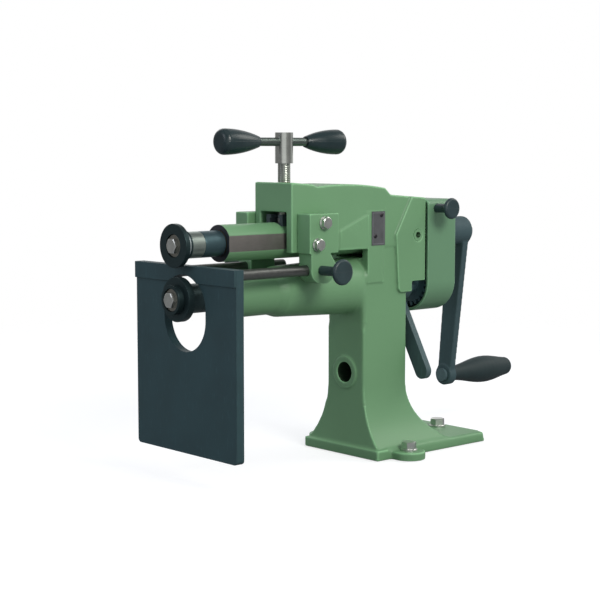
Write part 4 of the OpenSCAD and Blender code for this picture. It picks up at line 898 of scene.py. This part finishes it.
# Crank. A forged arm keyed to the upper shaft and painted black, with a washer and a bolt at
# the shaft's end and a turned plastic grip that runs on a riveted pin.
crank_black = blacked("crank_black", srgb(55, 76, 80), 0.56)
crank_mesh = cast_skin("crank_arm", grain=0.0008, softening=5, share=0.40)
add_piece("forged_crank", crank_mesh, "upper_drive", [crank_black], ["crank_arm"])
grip_plastic = moulded("crank_grip_plastic", srgb(28, 46, 48), along_y, centre_of("crank_grip").y, 0.54)
pin_black = blacked("grip_pin_black", srgb(76, 96, 100))
dress(grip_plastic, "crank_grip")
dress(bright_plating, "crank_washer", "crank_bolt")
dress(pin_black, "grip_pin")


# Rod brackets. Two small castings in body green, bolted to the sides of the head with two
# plated hexagon bolts each; each carries one fence rod.
bracket_green = enamel("bracket_enamel", body_green)
for side in ("near", "far"):
    node = "rod_bracket_" + side
    bracket_mesh = cast_skin(node, grain=0.0006, softening=6, share=0.35)
    add_piece("cast_bracket_" + side, bracket_mesh, "frame", [bracket_green], [node])

m6_across = 0.010
m6_head = 0.0042
m6_d = 0.006
m6_washer_t = 0.0016
m6_washer_d = 0.012


def loose_parts(node):
    """Lowest and highest corner of each separate solid of a node."""
    shape = welded(node)
    left = set(shape.verts)
    parts = []
    while left:
        front = [left.pop()]
        part = []
        while front:
            corner = front.pop()
            part.append(corner.co.copy())
            for edge in corner.link_edges:
                other = edge.other_vert(corner)
                if other in left:
                    left.remove(other)
                    front.append(other)
        parts.append([
            Vector(pick(point[axis] for point in part) for axis in range(3)) for pick in (min, max)
        ])
    shape.free()
    return sorted(parts, key=lambda box: (round(box[0].y, 4), round(box[0].x, 4)))


bolts = bmesh.new()
washers = bmesh.new()
for low, high in loose_parts("bracket_washers"):
    middle = (low + high) / 2
    out = -1 if middle.y < 0 else 1
    face_y = high.y if out < 0 else low.y
    at_face = Matrix.Translation((middle.x, face_y, middle.z))
    facing = at_face @ Matrix.Rotation(-out * math.pi / 2, 4, "X")
    on_washer = facing @ Matrix.Translation((0, 0, m6_washer_t))
    washer(washers, facing, m6_washer_d, m6_d, m6_washer_t)
    hex_bolt(bolts, on_washer, m6_across, m6_head, m6_d, m6_washer_t)
for name, shape in (("bracket_bolts", bolts), ("bracket_washers", washers)):
    mesh = shaded_mesh(shape, name)
    add_piece(name + ".worked", mesh, "frame", [bright_plating], [name])


# Fence. A black painted plate with a round-ended hole for the lower roll and a thin wear strip
# along its top, carried by two ground rods that slide in the brackets.
fence_black = blacked("fence_black", srgb(40, 66, 70), 0.50)
# Lighter finish for the fence's broken edges: rubbed paint and a painted highlight.
fence_edge_glint = blacked("fence_edge_glint", srgb(54, 74, 79), 0.42)
rod_steel = plated("rod_steel", srgb(112, 114, 112), 0.34)
machined("fence_plate", 0.0007, [fence_black, fence_edge_glint])
machined("fence_strip", 0.0005, [fence_black, fence_edge_glint])
machined("fence_rods", 0.0006, [rod_steel])


# Clamp knobs. Moulded black mushroom knobs on steel screws that pinch the fence rods in their
# brackets, one on each side.
for side in ("near", "far"):
    knob = "rod_knob_" + side
    dress(moulded(knob + "_plastic", knob_black, along_z, centre_of(knob).z, 0.34), knob)
    dress(bright_plating, "rod_knob_screw_" + side)


# Name plate. A bare etched plate of brownish metal with a plain border, held to the head's
# side by two domed rivets in opposite corners.
border_inset = 0.0015
border_line = 0.0005
border_fade = 0.0001


def etched(name, colour, low, high):
    """Brushed plate with a thin raised border line a little in from its edges."""
    finish = Finish(bpy.data.materials.new(name))
    place = finish.node("ShaderNodeTexCoord")["Object"]
    x, _, z = split(finish, place)
    middle = (low + high) / 2
    from_side = (high.x - low.x) / 2 - abs(x - middle.x)
    from_top = (high.z - low.z) / 2 - abs(z - middle.z)
    inside = from_side.math("MINIMUM", from_side, from_top)
    border = 1 - ramp(finish, abs(inside - border_inset), border_line / 2, border_line / 2 + border_fade)
    grain = brushed(finish, place, (1, 1, 9), 0.0007)
    stain = clouds(finish, place, 0.008, 3)
    tone = mix(finish, stain, shade(colour, 0.72), shade(colour, 1.18))
    tone = mix(finish, 0.4 * grain, tone, shade(colour, 0.60))
    tone = mix(finish, 0.6 * border, tone, shade(colour, 1.9))
    return cover_with(finish, {
        "Base Color": tone,
        "Metallic": 0.55,
        "Roughness": 0.42 + 0.15 * stain,
        "Normal": relief(finish, 3e-6 * grain + 40e-6 * border),
    })


plate_low, plate_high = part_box("name_plate")
plate_metal = etched("plate_metal", srgb(104, 106, 108), plate_low, plate_high)
machined("name_plate", 0.0003, [plate_metal])

rivet_steps = 5
rivet_sides = 32
rivets = bmesh.new()
for low, high in loose_parts("plate_rivets"):
    middle = (low + high) / 2
    radius = (high.x - low.x) / 2
    dome = plate_low.y - low.y
    bends = [math.pi / 2 * step / rivet_steps for step in range(rivet_steps)]
    rings = [circle_ring(radius * math.cos(bend), dome * math.sin(bend), rivet_sides) for bend in bends]
    facing = Matrix.Translation((middle.x, plate_low.y, middle.z)) @ Matrix.Rotation(math.pi / 2, 4, "X")
    loft(rivets, rings, facing)
rivet_metal = plated("rivet_metal", srgb(70, 68, 72), 0.34)
rivet_mesh = shaded_mesh(rivets, "plate_rivets")
add_piece("plate_rivets.worked", rivet_mesh, "frame", [rivet_metal], ["plate_rivets"])
